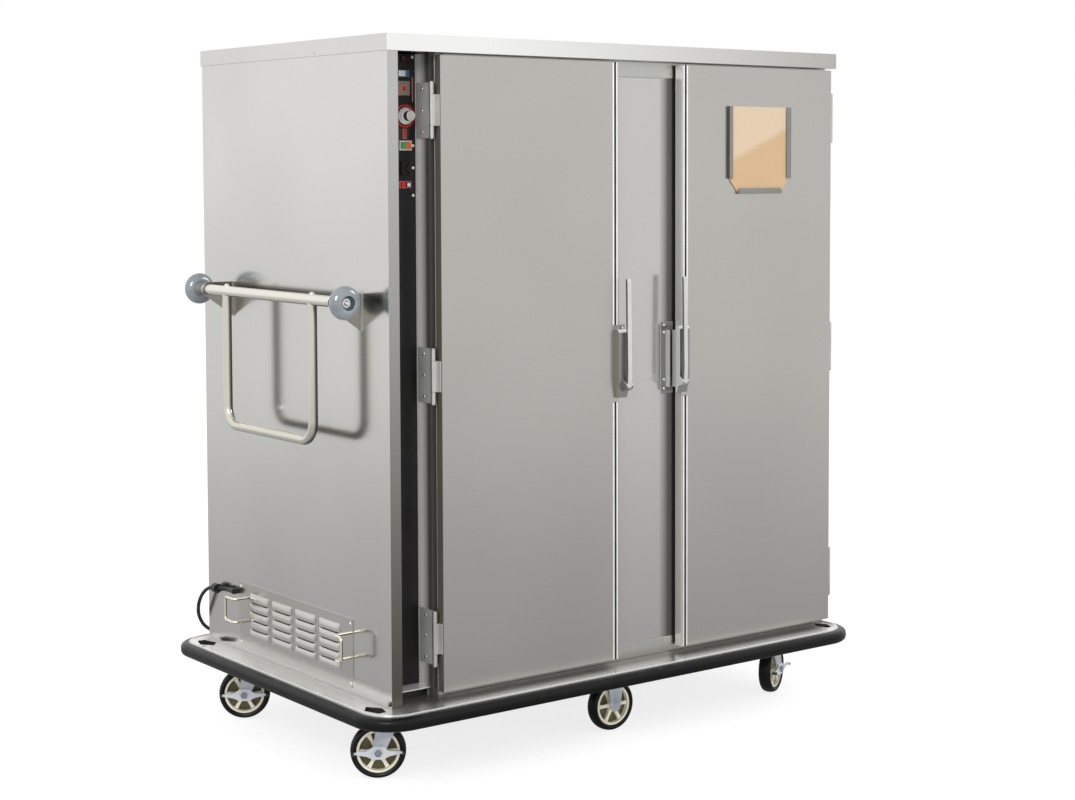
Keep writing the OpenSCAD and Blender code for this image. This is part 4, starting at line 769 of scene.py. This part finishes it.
# Satin stainless brushed along the cabinet's depth: soft, even and a little dull.
vent_steel = brushed("satin_stainless_vent", "#D1D0CC", "#C9C8C3", 0.22, 0.27, along="y")
column_pitch, row_pitch, slot_half = 112.5, 22, 40
vent_y = [267.25 + column_pitch * i for i in range(4)]
vent_z = [236 + row_pitch * k for k in range(5)]
plate_y, plate_z = (163, 709), (202, 364)


def vent_plate(work):
    """Cover plate with a slot behind every louvre and two rounded lower corners."""
    ys = sorted([*plate_y] + [y + s * slot_half for y in vent_y for s in (-1, 1)])
    zs = sorted([*plate_z] + [z + s for z in vent_z for s in (1, 13)])
    corners = {
        (i, k, x): work.verts.new((x, y, z))
        for i, y in enumerate(ys) for k, z in enumerate(zs) for x in (-2, 0)
    }
    columns, rows = range(len(ys) - 1), range(len(zs) - 1)
    filled = {(i, k) for i in columns for k in rows if not (i % 2 and k % 2)}
    for i, k in sorted(filled):
        loop = [(i, k), (i + 1, k), (i + 1, k + 1), (i, k + 1)]
        work.faces.new([corners[(*c, -2)] for c in reversed(loop)])
        work.faces.new([corners[(*c, 0)] for c in loop])
        for step, (di, dk) in enumerate(((0, -1), (1, 0), (0, 1), (-1, 0))):
            if (i + di, k + dk) not in filled:
                a, b = loop[step], loop[(step + 1) % 4]
                work.faces.new((corners[(*a, -2)], corners[(*b, -2)], corners[(*b, 0)], corners[(*a, 0)]))
    foot = {(y, plate_z[0]) for y in plate_y}
    low = [e for e in work.edges if all(tuple(v.co.yz) in foot for v in e.verts)]
    bmesh.ops.bevel(work, geom=low, offset=16, segments=8, profile=0.5, affect="EDGES")


plate = mesh_piece("vent_cover_plate", vent_plate, [vent_steel])
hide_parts("vent_panel")

# One louvre is a unit block bent into a hood: its reach falls to nothing at the top
# and at both ends, and rows and columns repeat it. Each row of the list below makes a
# value of the bend from two others.
tree, given = node_group(
    "pressed_louvres", Length=0.094, Height=0.0197, Depth=0.007, Wall=0.0012, Columns=4, Rows=5,
    Column_pitch=column_pitch / 1000, Row_pitch=row_pitch / 1000,
)
block = {"Size": (1, 1, 1), "Vertices X": 25, "Vertices Y": 2, "Vertices Z": 9}
block = add(tree, "GeometryNodeMeshCube", block)
spot = add(tree, "GeometryNodeInputPosition")
at = add(tree, "ShaderNodeSeparateXYZ", {"Vector": spot}).outputs
known = {"x": at["X"], "y": at["Y"], "z": at["Z"]}
known.update((key, given[key]) for key in ("Length", "Height", "Depth", "Wall"))
for result, operation, first, second in (
    ("rise", "ADD", "z", 0.5),
    ("end", "MULTIPLY", "x", 1.999), ("end", "ABSOLUTE", "end", 0.0), ("end", "POWER", "end", 9.0),
    ("end", "SUBTRACT", 1.0, "end"), ("end", "SQRT", "end", 0.0),
    ("fall", "MULTIPLY", "rise", 0.998), ("fall", "MULTIPLY", "rise", "fall"),
    ("fall", "SUBTRACT", 1.0, "fall"), ("fall", "SQRT", "fall", 0.0),
    ("reach", "MULTIPLY", "end", "fall"), ("reach", "MULTIPLY", "Depth", "reach"),
    ("skin", "ADD", "y", 0.5), ("skin", "MULTIPLY", "skin", "Wall"),
    ("X", "MULTIPLY", "x", "Length"), ("Y", "SUBTRACT", "skin", "reach"),
    ("Z", "MULTIPLY", "rise", "Height"),
):
    pair = {0: known.get(first, first), 1: known.get(second, second)}
    known[result] = add(tree, "ShaderNodeMath", pair, operation=operation)
hood = add(tree, "ShaderNodeCombineXYZ", {key: known[key] for key in "XYZ"})
hood = add(tree, "GeometryNodeSetPosition", {"Geometry": block, "Position": hood})
across_step = add(tree, "ShaderNodeCombineXYZ", {"X": given["Column pitch"]})
up_step = add(tree, "ShaderNodeCombineXYZ", {"Z": given["Row pitch"]})
columns = add(tree, "GeometryNodeMeshLine", {"Count": given["Columns"], "Offset": across_step})
rows = add(tree, "GeometryNodeMeshLine", {"Count": given["Rows"], "Offset": up_step})
column = add(tree, "GeometryNodeInstanceOnPoints", {"Points": rows, "Instance": hood})
row = add(tree, "GeometryNodeInstanceOnPoints", {"Points": columns, "Instance": column})
turned = {"Points": given["Geometry"], "Instance": row, "Rotation": (0, 0, -math.pi / 2)}
turned = add(tree, "GeometryNodeInstanceOnPoints", turned)
close_tree(tree, given, turned)
first_louvre = ([place(-1.7, vent_y[3], vent_z[0])], [])
grow("vent_louvres", tree, first_louvre, vent_steel, slot="steel", smooth=50)

# Bright plated screws in the cover's corners: small sharp highlights.
screw_bright = moulded("bright_steel_screw", "#F4F2EC", "#E6E4DE", 0.14, 0.22, metallic=0.9)
vent_corners = [(-2.3, y, z) for z in (214, 352) for y in (173, 699)]
fasteners("vent_screws", vent_corners, (-1, 0, 0), screw_bright, 4, 1.6)

# Rods and tubes: a polyline through the corners, rounded, with a round section.
tube_tree, given = node_group("bent_tube", Radius=0.0035, Bend_radius=0.008, Sides=24)
path = add(tube_tree, "GeometryNodeMeshToCurve", {"Mesh": given["Geometry"]})
bent = {"Curve": path, "Count": 10, "Radius": given["Bend radius"], "Limit Radius": True}
bent = add(tube_tree, "GeometryNodeFilletCurve", bent, mode="POLY")
round_section = {"Resolution": given["Sides"], "Radius": given["Radius"]}
round_section = add(tube_tree, "GeometryNodeCurvePrimitiveCircle", round_section)
tube = {"Curve": bent, "Profile Curve": round_section, "Fill Caps": True}
close_tree(tube_tree, given, add(tube_tree, "GeometryNodeCurveToMesh", tube))


def bent_rod(name, lines, material, radius, bend=8, sides=24, body="cabinet", slot="bright_steel"):
    """Rods or tubes of one radius along polylines, all in millimetres."""
    points, edges = [], []
    for line in lines:
        edges += [(len(points) + i, len(points) + i + 1) for i in range(len(line) - 1)]
        points += [place(*p) for p in line]
    sizes = {"Radius": radius / 1000, "Bend_radius": bend / 1000, "Sides": sides}
    return grow(name, tube_tree, (points, edges), material, body, slot, smooth=60, **sizes)


def round_with_painted_light(name, light, dull, low, high):
    """Polished rod or tube with painted light and shade: painted bright outside and on top, painted shade
    underneath and on the side turned away."""
    material, tree, shader = finish_start(name, Metallic=1.0)
    facing = add(tree, "ShaderNodeTexCoord").outputs["Normal"]
    inner = add(tree, "ShaderNodeVectorMath", {0: facing, 1: (0.8, -0.6, -0.1)}, operation="DOT_PRODUCT")
    under = add(tree, "ShaderNodeVectorMath", {0: facing, 1: (0.3, -0.1, -0.95)}, operation="DOT_PRODUCT")
    painted_shade_side = add(tree, "ShaderNodeMath", {0: inner, 1: under}, operation="MAXIMUM")
    two_tone(tree, shader, painted_shade_side, dull, light, spread=(0.3, 0.8))
    uneven_gloss(tree, shader, object_noise(tree, 30), low, high)
    return material


# Bright zinc-plated rod with a cream cast from its passivation, and painted shade underneath and on its far
# side.
rod_zinc = round_with_painted_light("passivated_zinc_rod", "#FBF3E0", "#5E584C", 0.1, 0.15)
handle_lines = []
for leg, grip in ((655, 701), (172, 142)):
    upper = [(-2, leg, 331), (-44, leg, 331), (-44, grip, 331)]
    handle_lines.append(upper + [(x, y, 274) for x, y, z in reversed(upper)])
handles = bent_rod("module_handle_rods", handle_lines, rod_zinc, 3.5, bend=9)
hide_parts("module_handles")

# Blower behind the cover: galvanised box, and a squirrel-cage wheel whose blades are
# bent strips crimped between two rings.

# Hot-dip galvanised sheet: cool grey with dull and brighter patches.
galvanised = moulded("galvanised_sheet", "#B6B9BA", "#A3A7A9", 0.32, 0.45, metallic=1.0)
eased("blower_housing", 0.5, galvanised)


def turned_solid(work, x, y, z, profile, index=0, sides=48, axis=(1, 0, 0), up=(0, 0, 1)):
    """Ring of a closed profile of (along, radius) points turned round an axis."""
    axis, up = Vector(axis), Vector(up)
    third = axis.cross(up)
    rings = []
    for k in range(sides):
        a = 2 * math.pi * k / sides
        out = up * math.cos(a) + third * math.sin(a)
        rings.append([Vector((x, y, z)) + axis * p + out * r for p, r in profile])
    skin_rows(work, rings, index=index)


blower_x, blower_y, blower_z, blower_middle = 32, 612, 256, 15


def cage_rings(work):
    """Front ring, back disc and hub of the blower wheel, turned in one profile each."""
    for profile in (
        [(0, 34.5), (0, 42), (3, 42), (3, 34.5)], [(27, 4.5), (27, 42), (30, 42), (30, 4.5)],
        [(10, 4.5), (10, 8.5), (27.2, 9), (27.2, 4.5)],
    ):
        turned_solid(work, blower_x, blower_y, blower_z, profile)


rings = mesh_piece("blower_wheel_rings", cage_rings, [galvanised], "blower", round_mm=0.4)
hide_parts("blower_wheel")
tree, given = node_group(
    "squirrel_cage_blades", Blades=20, Radius=0.038, Chord=0.0062, Thickness=0.0011,
    Length=0.0255, Lean=0.52,
)
blade_size = {"X": given["Length"], "Y": given["Chord"], "Z": given["Thickness"]}
blade_size = add(tree, "ShaderNodeCombineXYZ", blade_size)
blade = add(tree, "GeometryNodeMeshCube", {"Size": blade_size, "Vertices Y": 6})
spot = add(tree, "GeometryNodeInputPosition")
along_chord = curl = add(tree, "ShaderNodeSeparateXYZ", {"Vector": spot}).outputs["Y"]
for other in (along_chord, 90.0):
    curl = add(tree, "ShaderNodeMath", {0: curl, 1: other}, operation="MULTIPLY")
curl = add(tree, "ShaderNodeCombineXYZ", {"Z": curl})
blade = add(tree, "GeometryNodeSetPosition", {"Geometry": blade, "Offset": curl})
lean_turn = add(tree, "ShaderNodeCombineXYZ", {"X": given["Lean"]})
blade = add(tree, "GeometryNodeTransform", {"Geometry": blade, "Rotation": lean_turn})
circle = add(tree, "GeometryNodeMeshCircle", {"Vertices": given["Blades"], "Radius": given["Radius"]})
upright = add(tree, "GeometryNodeTransform", {"Geometry": circle, "Rotation": (0, math.pi / 2, 0)})
around_x = {"Rotation": (0, 0, 0), "Vector": add(tree, "GeometryNodeInputPosition")}
around_x = add(tree, "FunctionNodeAlignRotationToVector", around_x, axis="Y", pivot_axis="X")
fan = {"Points": upright, "Instance": blade, "Rotation": around_x}
fan = add(tree, "GeometryNodeInstanceOnPoints", fan)
fan = {"Points": given["Geometry"], "Instance": fan}
close_tree(tree, given, add(tree, "GeometryNodeInstanceOnPoints", fan))
hub = ([place(blower_x + blower_middle, blower_y, blower_z)], [])
grow("blower_wheel_blades", tree, hub, galvanised, "blower", "galvanised", smooth=30)

# Tubular element in a dark nickel alloy, dulled by heat, bent back and forth.
element_sheath = moulded("nickel_alloy_sheath", "#5A5048", "#463E38", 0.45, 0.65, metallic=1.0)
element_x, element_y, element_z, element_pitch = 55, (211, 493), 220, 30
element_line = []
for k in range(4):
    run = [(element_x, y, element_z + element_pitch * k) for y in element_y]
    element_line += run if k % 2 == 0 else run[::-1]
element = bent_rod(
    "heating_element_tube", [element_line], element_sheath, 4, bend=14.9, slot="element"
)
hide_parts("heating_element")


def element_bracket(work):
    """Folded bracket that holds the element's left ends on the module's tray."""
    x0, x1, y0, y1 = element_x - 6, element_x + 6, element_y[0], element_y[0] + 10
    outline = [(x0, y0), (x1, y0), (x1, y1), (x0, y1)]
    skin_rows(work, [[(x, y, z) for x, y in outline] for z in (192, 320)], closed_run=False)


mesh_piece("element_bracket", element_bracket, [galvanised], round_mm=0.8)

# --- Shelves ------------------------------------------------------------------
# Six plated wire shelves on slotted posts. Each is a pair of rods and a cross rod
# with thirteen wires welded over them.

# Nickel-chrome plated wire: bright, with thin highlights along every rod.
shelf_plate = moulded("bright_plated_wire", "#D9D9D8", "#CCCCCB", 0.16, 0.26, metallic=1.0)
tree, given = node_group(
    "wire_shelf", Length=0.523, Depth=0.737, Rod_radius=0.004, Wire_radius=0.002, Wires=13,
    Pitch=0.06075, Rise=0.0054,
)
half = add(tree, "ShaderNodeMath", {0: given["Length"], 1: 0.5}, operation="MULTIPLY")
deep = add(tree, "ShaderNodeMath", {0: given["Depth"], 1: 0.5}, operation="MULTIPLY")
right_end = add(tree, "ShaderNodeCombineXYZ", {"X": half})
left_end = add(tree, "ShaderNodeVectorMath", {0: right_end, 1: (-1, 1, 1)}, operation="MULTIPLY")
wire_line = add(tree, "GeometryNodeCurvePrimitiveLine", {"Start": left_end, "End": right_end})
wire_ring, rod_ring = (
    add(tree, "GeometryNodeCurvePrimitiveCircle", {"Resolution": sides, "Radius": given[key]})
    for sides, key in ((12, "Wire radius"), (20, "Rod radius"))
)
wire = {"Curve": wire_line, "Profile Curve": wire_ring, "Fill Caps": True}
wire = add(tree, "GeometryNodeCurveToMesh", wire)
first = add(tree, "ShaderNodeMath", {0: given["Rod radius"], 1: deep}, operation="SUBTRACT")
first = add(tree, "ShaderNodeCombineXYZ", {"Y": first, "Z": given["Rise"]})
step = add(tree, "ShaderNodeCombineXYZ", {"Y": given["Pitch"]})
rows = {"Count": given["Wires"], "Start Location": first, "Offset": step}
rows = add(tree, "GeometryNodeMeshLine", rows)
wires = add(tree, "GeometryNodeInstanceOnPoints", {"Points": rows, "Instance": wire})
inner = add(tree, "ShaderNodeMath", {0: half, 1: given["Rod radius"]}, operation="SUBTRACT")
rod_corner = add(tree, "ShaderNodeCombineXYZ", {"X": inner, "Y": deep})
bars = []
for signs in (((-1, -1, 0), (-1, 1, 0)), ((1, -1, 0), (1, 1, 0)), ((-1, 0, 0), (1, 0, 0))):
    ends = [
        add(tree, "ShaderNodeVectorMath", {0: rod_corner, 1: sign}, operation="MULTIPLY")
        for sign in signs
    ]
    rod = add(tree, "GeometryNodeCurvePrimitiveLine", {"Start": ends[0], "End": ends[1]})
    rod = {"Curve": rod, "Profile Curve": rod_ring, "Fill Caps": True}
    bars.append(add(tree, "GeometryNodeCurveToMesh", rod))
bars = add(tree, "GeometryNodeJoinGeometry", {"Geometry": bars + [wires]})
stack = {"Points": given["Geometry"], "Instance": bars}
close_tree(tree, given, add(tree, "GeometryNodeInstanceOnPoints", stack))
shelf_x, shelf_y, shelf_z = (462.5, 1022.5), 456.5, (528, 868, 1208)
shelves = ([place(x, shelf_y, z) for x in shelf_x for z in shelf_z], [])
shelves = grow("wire_shelves_welded", tree, shelves, shelf_plate, slot="bright_steel", smooth=60)
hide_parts("wire_shelves")
eased("shelf_posts", 0.4, lining_steel)

# --- Push bar -----------------------------------------------------------------
# Polished stainless tube on two welded gusset brackets, with a soft rubber bumper on
# each end and a bent loop bolted up under it.
bar_x, bar_z, gusset_x, loop_y = -68, 1091, -54, (216, 626)

# Polished stainless tube: a painted bright streak above and outside, painted shade towards the cabinet.
tube_steel = round_with_painted_light("polished_stainless_tube", "#DEDACE", "#524F4A", 0.12, 0.17)
bar_steel = round_with_painted_light("polished_stainless_bar", "#EFEBE0", "#57544F", 0.1, 0.14)
# Satin plate beside it, flatter and duller than the tube.
gusset_steel = brushed("satin_stainless_gusset", "#C6C3BB", "#BAB7AF", 0.24, 0.3)
push_bar = eased("push_bar", 0.4, bar_steel)
refinish(push_bar, gusset_steel, lambda x, y, z, n: x > gusset_x)
loop_line = [(bar_x, y, z) for y, ends in zip(loop_y, ((1090, 769), (769, 1090))) for z in ends]
loop = bent_rod("push_loop_tube", [loop_line], tube_steel, 11, bend=45, sides=40)
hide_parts("push_loop")


def loop_bolts(work):
    """Flanged heads of the two bolts that pull the loop up against the bar."""
    profile = [(-2, 0.01), (-2, 7), (2, 7), (2.4, 6), (5.4, 3.6), (6, 2.4), (6, 0.01)]
    for y in loop_y:
        turned_solid(work, bar_x, y, bar_z + 12, profile, axis=(0, 0, 1), up=(1, 0, 0), sides=32)


mesh_piece("push_loop_bolts", loop_bolts, [screw_bright], round_mm=0.3)
# Grey-blue moulded rubber with a low gloss, painted darker inside its cup as shade; a bright chromed washer
# and screw sit in the cup.
puck_rubber = moulded(
    "grey_bumper_rubber", "#90989D", "#7F878C", 0.14, 0.2, grain_mm=4.0, height_mm=0.02,
    metallic=0.4, coat=0.8,
)
cup_painted_shade = moulded("bumper_cup_painted_shade", "#474E55", "#3E454C", 0.2, 0.28, coat=0.3)
cup_chrome = moulded("chromed_cup_washer", "#F2F3F4", "#E1E3E5", 0.08, 0.14, metallic=1.0)
pucks = eased("push_bumpers", 0.8, puck_rubber)
cup_depth, cup_radius, washer_top, washer_foot, washer_radius = 12.5, 16.2, 3, 12.2, 10.3


def off_axis(x, z):
    """Distance from the bar's middle line."""
    return math.hypot(x - bar_x, z - bar_z)


for end_y, way in ((55, 1), (787, -1)):
    refinish(
        pucks, cup_painted_shade,
        lambda x, y, z, n: (y - end_y) * way < cup_depth and off_axis(x, z) < cup_radius and abs(n.y) < 0.95,
    )
    refinish(
        pucks, cup_chrome,
        lambda x, y, z, n: washer_top < (y - end_y) * way < washer_foot and off_axis(x, z) < washer_radius,
    )

# --- Doors --------------------------------------------------------------------
# Insulated doors with satin skins, brushed upright. A groove painted dark as shade, with two beads painted
# bright as highlights, runs beside the free edge, above and below the latch.

# Satin stainless: soft and even, with broad blurred reflections.
door_steel = brushed("satin_stainless_door", "#C6C4BF", "#C2C0BB", 0.275, 0.29)
# Its folded free edge is painted light, as if catching light; the hinge edge is painted shade.
free_edge_painted_light = brushed("door_free_edge_painted_light", "#E8E7E3", "#DEDDD8", 0.2, 0.24, metallic=0.6)
hinge_edge_painted_shade = brushed("door_hinge_edge_painted_shade", "#67665F", "#605F59", 0.42, 0.48, metallic=0.3)
# The groove's shaded bottom is painted nearly black as shade, between two thin lines of bead painted white
# as highlights.
groove_dark = moulded("stainless_groove_in_shade", "#232324", "#1A1A1B", 0.5, 0.6)
bead_painted_highlight = moulded("stainless_bead_painted_highlight", "#FAFAF8", "#EFEFEC", 0.14, 0.2, metallic=0.5)
# Inside: a plain satin liner and a soft black silicone seal without any shine.
liner_steel = brushed("pressed_stainless_liner", "#CBCAC6", "#C1C0BC", 0.24, 0.3)
seal_rubber = moulded("door_seal_silicone", "#222224", "#1A1A1C", 0.55, 0.7)
# Die-cast zinc latches: grey and satin in front, with painted light paler on the side and a painted
# highlight on the upper faces.
latch_metal = brushed("cast_latch_zinc", "#A3A3A0", "#969693", 0.3, 0.36, metallic=0.9)
latch_flank_painted_light = brushed("zinc_latch_flank_painted_light", "#C9C9C7", "#BCBCBA", 0.4, 0.48, metallic=0.2)
latch_top_painted_highlight = brushed("zinc_latch_top_painted_highlight", "#F1F1EF", "#E5E5E2", 0.2, 0.26, metallic=0.5)
# Chromed lever, bright in front, with its sides painted darker as shade.
lever_chrome = moulded("chromed_zinc_lever", "#E2E2DF", "#D8D8D4", 0.12, 0.18, metallic=0.85)
lever_flank_painted_shade = moulded("zinc_lever_flank_painted_shade", "#8B8B89", "#7F7F7D", 0.25, 0.32, metallic=0.9)
# Bright rolled hinge steel, with clear but soft highlights.
hinge_metal = moulded("bright_rolled_hinge_steel", "#CFCFCB", "#C2C2BD", 0.2, 0.28, metallic=0.85)
door_width, hinge_z, screw_pitch = 504, (326, 920.5, 1515), 48
for side, door_end, way in (("left", 644, 1), ("right", 841, -1)):
    skin = eased(f"{side}_door_skin", 1.0, door_steel, segments=3)
    hinge_end = door_end - door_width * way
    refinish(
        skin, groove_dark,
        lambda x, y, z, n: 5 < (door_end - x) * way < 15 and 4.6 < y < 7 and n.y < 0.5,
    )
    refinish(skin, free_edge_painted_light, lambda x, y, z, n: n.x * way > 0.5 and abs(x - door_end) < 2)
    refinish(skin, hinge_edge_painted_shade, lambda x, y, z, n: abs(x - hinge_end) < 2 and (n.x * way < -0.5 or y > 27))
    beads = []
    for off in (5.8, 16.2):
        beads += [[(door_end - off * way, 4.2, z) for z in ends] for ends in ((206, 827), (1013, 1635))]
    bent_rod(f"{side}_door_beads", beads, bead_painted_highlight, 2.1, sides=16, body=f"{side}_door")
    eased(f"{side}_door_liner", 1.0, liner_steel)
    eased(f"{side}_door_seal", 1.2, seal_rubber, segments=3)
    latch = eased(f"{side}_latch_body", 1.2, latch_metal)
    if side == "right":
        refinish(latch, latch_flank_painted_light, lambda x, y, z, n: n.x < -0.7)
    refinish(latch, latch_top_painted_highlight, lambda x, y, z, n: n.z > 0.4)
    lever = eased(f"{side}_latch_lever", 2.4, lever_chrome, segments=3)
    refinish(lever, lever_flank_painted_shade, lambda x, y, z, n: abs(n.x) > 0.6)
    eased(f"{side}_hinge_leaves", 0.5, hinge_metal)
# The leaf's edge in the gap beside the door is in half shade.
leaf_pale = moulded("hinge_steel_in_shade", "#A6A6A2", "#9A9A96", 0.4, 0.5)
frame_leaves = eased("frame_hinge_leaves", 0.5, hinge_metal)
refinish(frame_leaves, leaf_pale, lambda x, y, z, n: 33 < y and 128 < x < 140)
strikes = eased("latch_strikes", 0.5, latch_metal)
refinish(strikes, latch_flank_painted_light, lambda x, y, z, n: n.x < -0.7)
refinish(strikes, latch_top_painted_highlight, lambda x, y, z, n: n.z > 0.4)
strike_spots = [(x, 31.7, z) for x in (677, 808) for z in (846, 868, 984, 1002)]
fasteners("strike_screws", strike_spots, (0, -1, 0), screw_bright, 3.8, 1.8)
for name, x, way in (("hinge_screws", 128.6, -1), ("hinge_screws_right", 1356.4, 1)):
    leaf_spots = [(x, 62, z + s * screw_pitch) for z in hinge_z for s in (-1, 0, 1)]
    fasteners(name, leaf_spots, (way, 0, 0), screw_bright, 4, 1.6)
rivet_spots = [(862, 4, z) for z in (1627, 1319, 519)]
fasteners("right_door_rivets", rivet_spots, (0, -1, 0), rivet_steel, 3, 1.2, "right_door")

# --- Card holder --------------------------------------------------------------
# Three folded channels riveted to the right door hold a card of plain cream board.
# Its surface is blank.

# Satin channels, darker on the flank that faces away from the light.
holder_steel = brushed("satin_stainless_card_holder", "#9C9B97", "#91908C", 0.22, 0.28)
holder_shade = brushed("stainless_channel_in_shade", "#5A5A57", "#50504D", 0.3, 0.36, metallic=0.8)
holder = eased("card_holder", 0.35, holder_steel)
refinish(holder, holder_shade, lambda x, y, z, n: n.x < -0.7)
# Uncoated board: matt and warm, with a faint tooth and one broad pale sheen, painted as a reflection with a
# diagonal edge.
card_with_painted_sheen, tree, shader = finish_start("cream_card_painted_sheen", Roughness=0.5)
slant = {0: add(tree, "ShaderNodeTexCoord").outputs["Object"], 1: (0.4, 0, -0.916)}
slant = add(tree, "ShaderNodeVectorMath", slant, operation="DOT_PRODUCT")
two_tone(tree, shader, slant, "#BC9F7B", "#C6B197", spread=(-1.15, -1.133))
raised(tree, shader, object_noise(tree, 1.4), 0.03)
eased("menu_card", 0.2, card_with_painted_sheen)

# --- Casters ------------------------------------------------------------------
# Bright zinc-plated forks on ball races, with foot brakes on the axles. The wheels
# have black tyres moulded on cream rims with six spokes and recesses between them.

# Bright zinc plating over pressed steel: slightly blue, with soft broken reflections.
zinc = moulded(
    "zinc_plated_steel", "#E0E5EC", "#AEB7C2", 0.1, 0.17, grain_mm=13.0, height_mm=0.5, metallic=0.6
)
brake_zinc = moulded(
    "polished_zinc_plated_pedal", "#F4F7FC", "#DDE3EC", 0.1, 0.16, grain_mm=11.0, height_mm=0.4,
    metallic=0.45,
)
nut_bright = moulded("zinc_plated_axle_nut", "#B3BAC2", "#9EA5AE", 0.16, 0.22, metallic=0.8)
# Ribbed rubber pad on the pedal: dark grey and dull.
tread_dark = moulded("brake_tread_rubber", "#3A3B3E", "#2E2F32", 0.4, 0.5)
# Black tyre with a faint gloss, on a smooth cream rim whose recesses are a dark olive.
tyre_black = moulded("tyre_polyurethane", "#111113", "#0B0B0D", 0.34, 0.44, gleam=0.3)
rim_cream = moulded("cream_wheel_nylon", "#E6E1CF", "#D9D3BE", 0.22, 0.3, coat=0.2)
recess_olive = moulded("wheel_recess_nylon", "#5E593C", "#4F4A30", 0.4, 0.5)
eased("caster_mounts", 0.5, zinc)
# A spoke is a flat bar that widens from its waist toward hub and rim.
tree, given = node_group(
    "wheel_spokes", Spokes=6, Inner=0.012, Outer=0.0455, Width=0.0075, Depth=0.022, Turn=0.0
)
reach = {0: given["Outer"], 1: given["Inner"]}
spoke_length = add(tree, "ShaderNodeMath", reach, operation="SUBTRACT")
middle_r = {0: add(tree, "ShaderNodeMath", reach, operation="ADD"), 1: 0.5}
middle_r = add(tree, "ShaderNodeMath", middle_r, operation="MULTIPLY")
spoke_size = {"X": spoke_length, "Y": given["Width"], "Z": given["Depth"]}
spoke_size = add(tree, "ShaderNodeCombineXYZ", spoke_size)
spoke = add(tree, "GeometryNodeMeshCube", {"Size": spoke_size, "Vertices X": 7})
spot = add(tree, "GeometryNodeInputPosition")
shape = add(tree, "ShaderNodeSeparateXYZ", {"Vector": spot}).outputs
waist = shape["X"]
for operation, other in (
    ("MULTIPLY", shape["X"]), ("MULTIPLY", 2400.0), ("ADD", 1.0), ("MULTIPLY", shape["Y"]),
):
    waist = add(tree, "ShaderNodeMath", {0: waist, 1: other}, operation=operation)
waist = add(tree, "ShaderNodeCombineXYZ", {"X": shape["X"], "Y": waist, "Z": shape["Z"]})
spoke = add(tree, "GeometryNodeSetPosition", {"Geometry": spoke, "Position": waist})
hub_ring = add(tree, "GeometryNodeMeshCircle", {"Vertices": given["Spokes"], "Radius": middle_r})
out_way = {"Vector": add(tree, "GeometryNodeInputPosition")}
out_way = add(tree, "FunctionNodeAlignRotationToVector", out_way, axis="X", pivot_axis="Z")
star = {"Points": hub_ring, "Instance": spoke, "Rotation": out_way}
star = add(tree, "GeometryNodeInstanceOnPoints", star)
tilt = add(tree, "ShaderNodeCombineXYZ", {"X": math.pi / 2, "Z": given["Turn"]})
star = {"Points": given["Geometry"], "Instance": star, "Rotation": tilt}
close_tree(tree, given, add(tree, "GeometryNodeInstanceOnPoints", star))


def wheel_rings(x, y, z, axis):
    """Tyre with a rounded tread, rim, thin web and hub of one wheel."""

    def make(work):
        tread = [(-14, 49.9)]
        for degrees in range(-80, 81, 10):
            t = math.radians(degrees)
            tread.append((17 * math.sin(t), 49.5 + 14 * abs(math.cos(t)) ** 0.5))
        for profile, index, sides in (
            (tread + [(14, 49.9)], 0, 96), ([(-13, 43), (-13, 49.95), (13, 49.95), (13, 43)], 1, 96),
            ([(-3, 9), (-3, 46), (3, 46), (3, 9)], 2, 96),
            ([(-19, 7), (-19, 13), (-18, 14), (18, 14), (19, 13), (19, 7)], 1, 48),
        ):
            turned_solid(work, x, y, z, profile, index, sides, axis)

    return make


def from_axle(px, py, wheel):
    """How far a point lies ahead of a wheel's axle and to its side."""
    x, y, heading = wheel
    a = math.radians(heading)
    ahead_x, ahead_y = math.cos(a), math.sin(a)
    return (px - x) * ahead_x + (py - y) * ahead_y, (py - y) * ahead_x - (px - x) * ahead_y


# Pins and headings of the swivelling forks, as they stand in the photograph; each axle
# trails its pin. The middle pair is fixed, and its wheels run straight.
axle_z, trail, front_y, back_y = 63.5, 38, 106, 747
nut_radius, nut_side, pad_reach = 11, 23, 54.5
swivels = {
    "front_left": (73, front_y, 148), "back_left": (73, back_y, 148),
    "front_right": (1220, front_y, 29), "back_right": (1220, back_y, 35),
}
wheels = {}
for corner, (x, y, heading) in swivels.items():
    a = math.radians(heading)
    wheels[corner] = (x + trail * math.cos(a), y + trail * math.sin(a), heading)
wheels["front_middle"], wheels["back_middle"] = (696.5, front_y, 0), (696.5, back_y, 0)
for corner, wheel in wheels.items():
    x, y, heading = wheel
    a = math.radians(heading)
    body = frame["nodes"][f"wheel_{corner}"]["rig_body"]
    rings = mesh_piece(
        f"wheel_{corner}_rings", wheel_rings(x, y, axle_z, (-math.sin(a), math.cos(a), 0)),
        [tyre_black, rim_cream, recess_olive], body=body, round_mm=0.6,
    )
    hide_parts(f"wheel_{corner}")
    hub = ([place(x, y, axle_z)], [])
    grow(f"wheel_{corner}_spokes", tree, hub, rim_cream, body, "tyre", smooth=30, Turn=a)
    if corner in swivels:
        fork = eased(f"fork_{corner}", 0.6, zinc)
        refinish(
            fork, nut_bright,
            lambda px, py, pz, n: math.hypot(from_axle(px, py, wheel)[0], pz - axle_z) < nut_radius
            and abs(from_axle(px, py, wheel)[1]) > nut_side,
        )
        brake = eased(f"brake_{corner}", 0.7, brake_zinc)
        refinish(brake, tread_dark, lambda px, py, pz, n: abs(from_axle(px, py, wheel)[0]) > pad_reach)
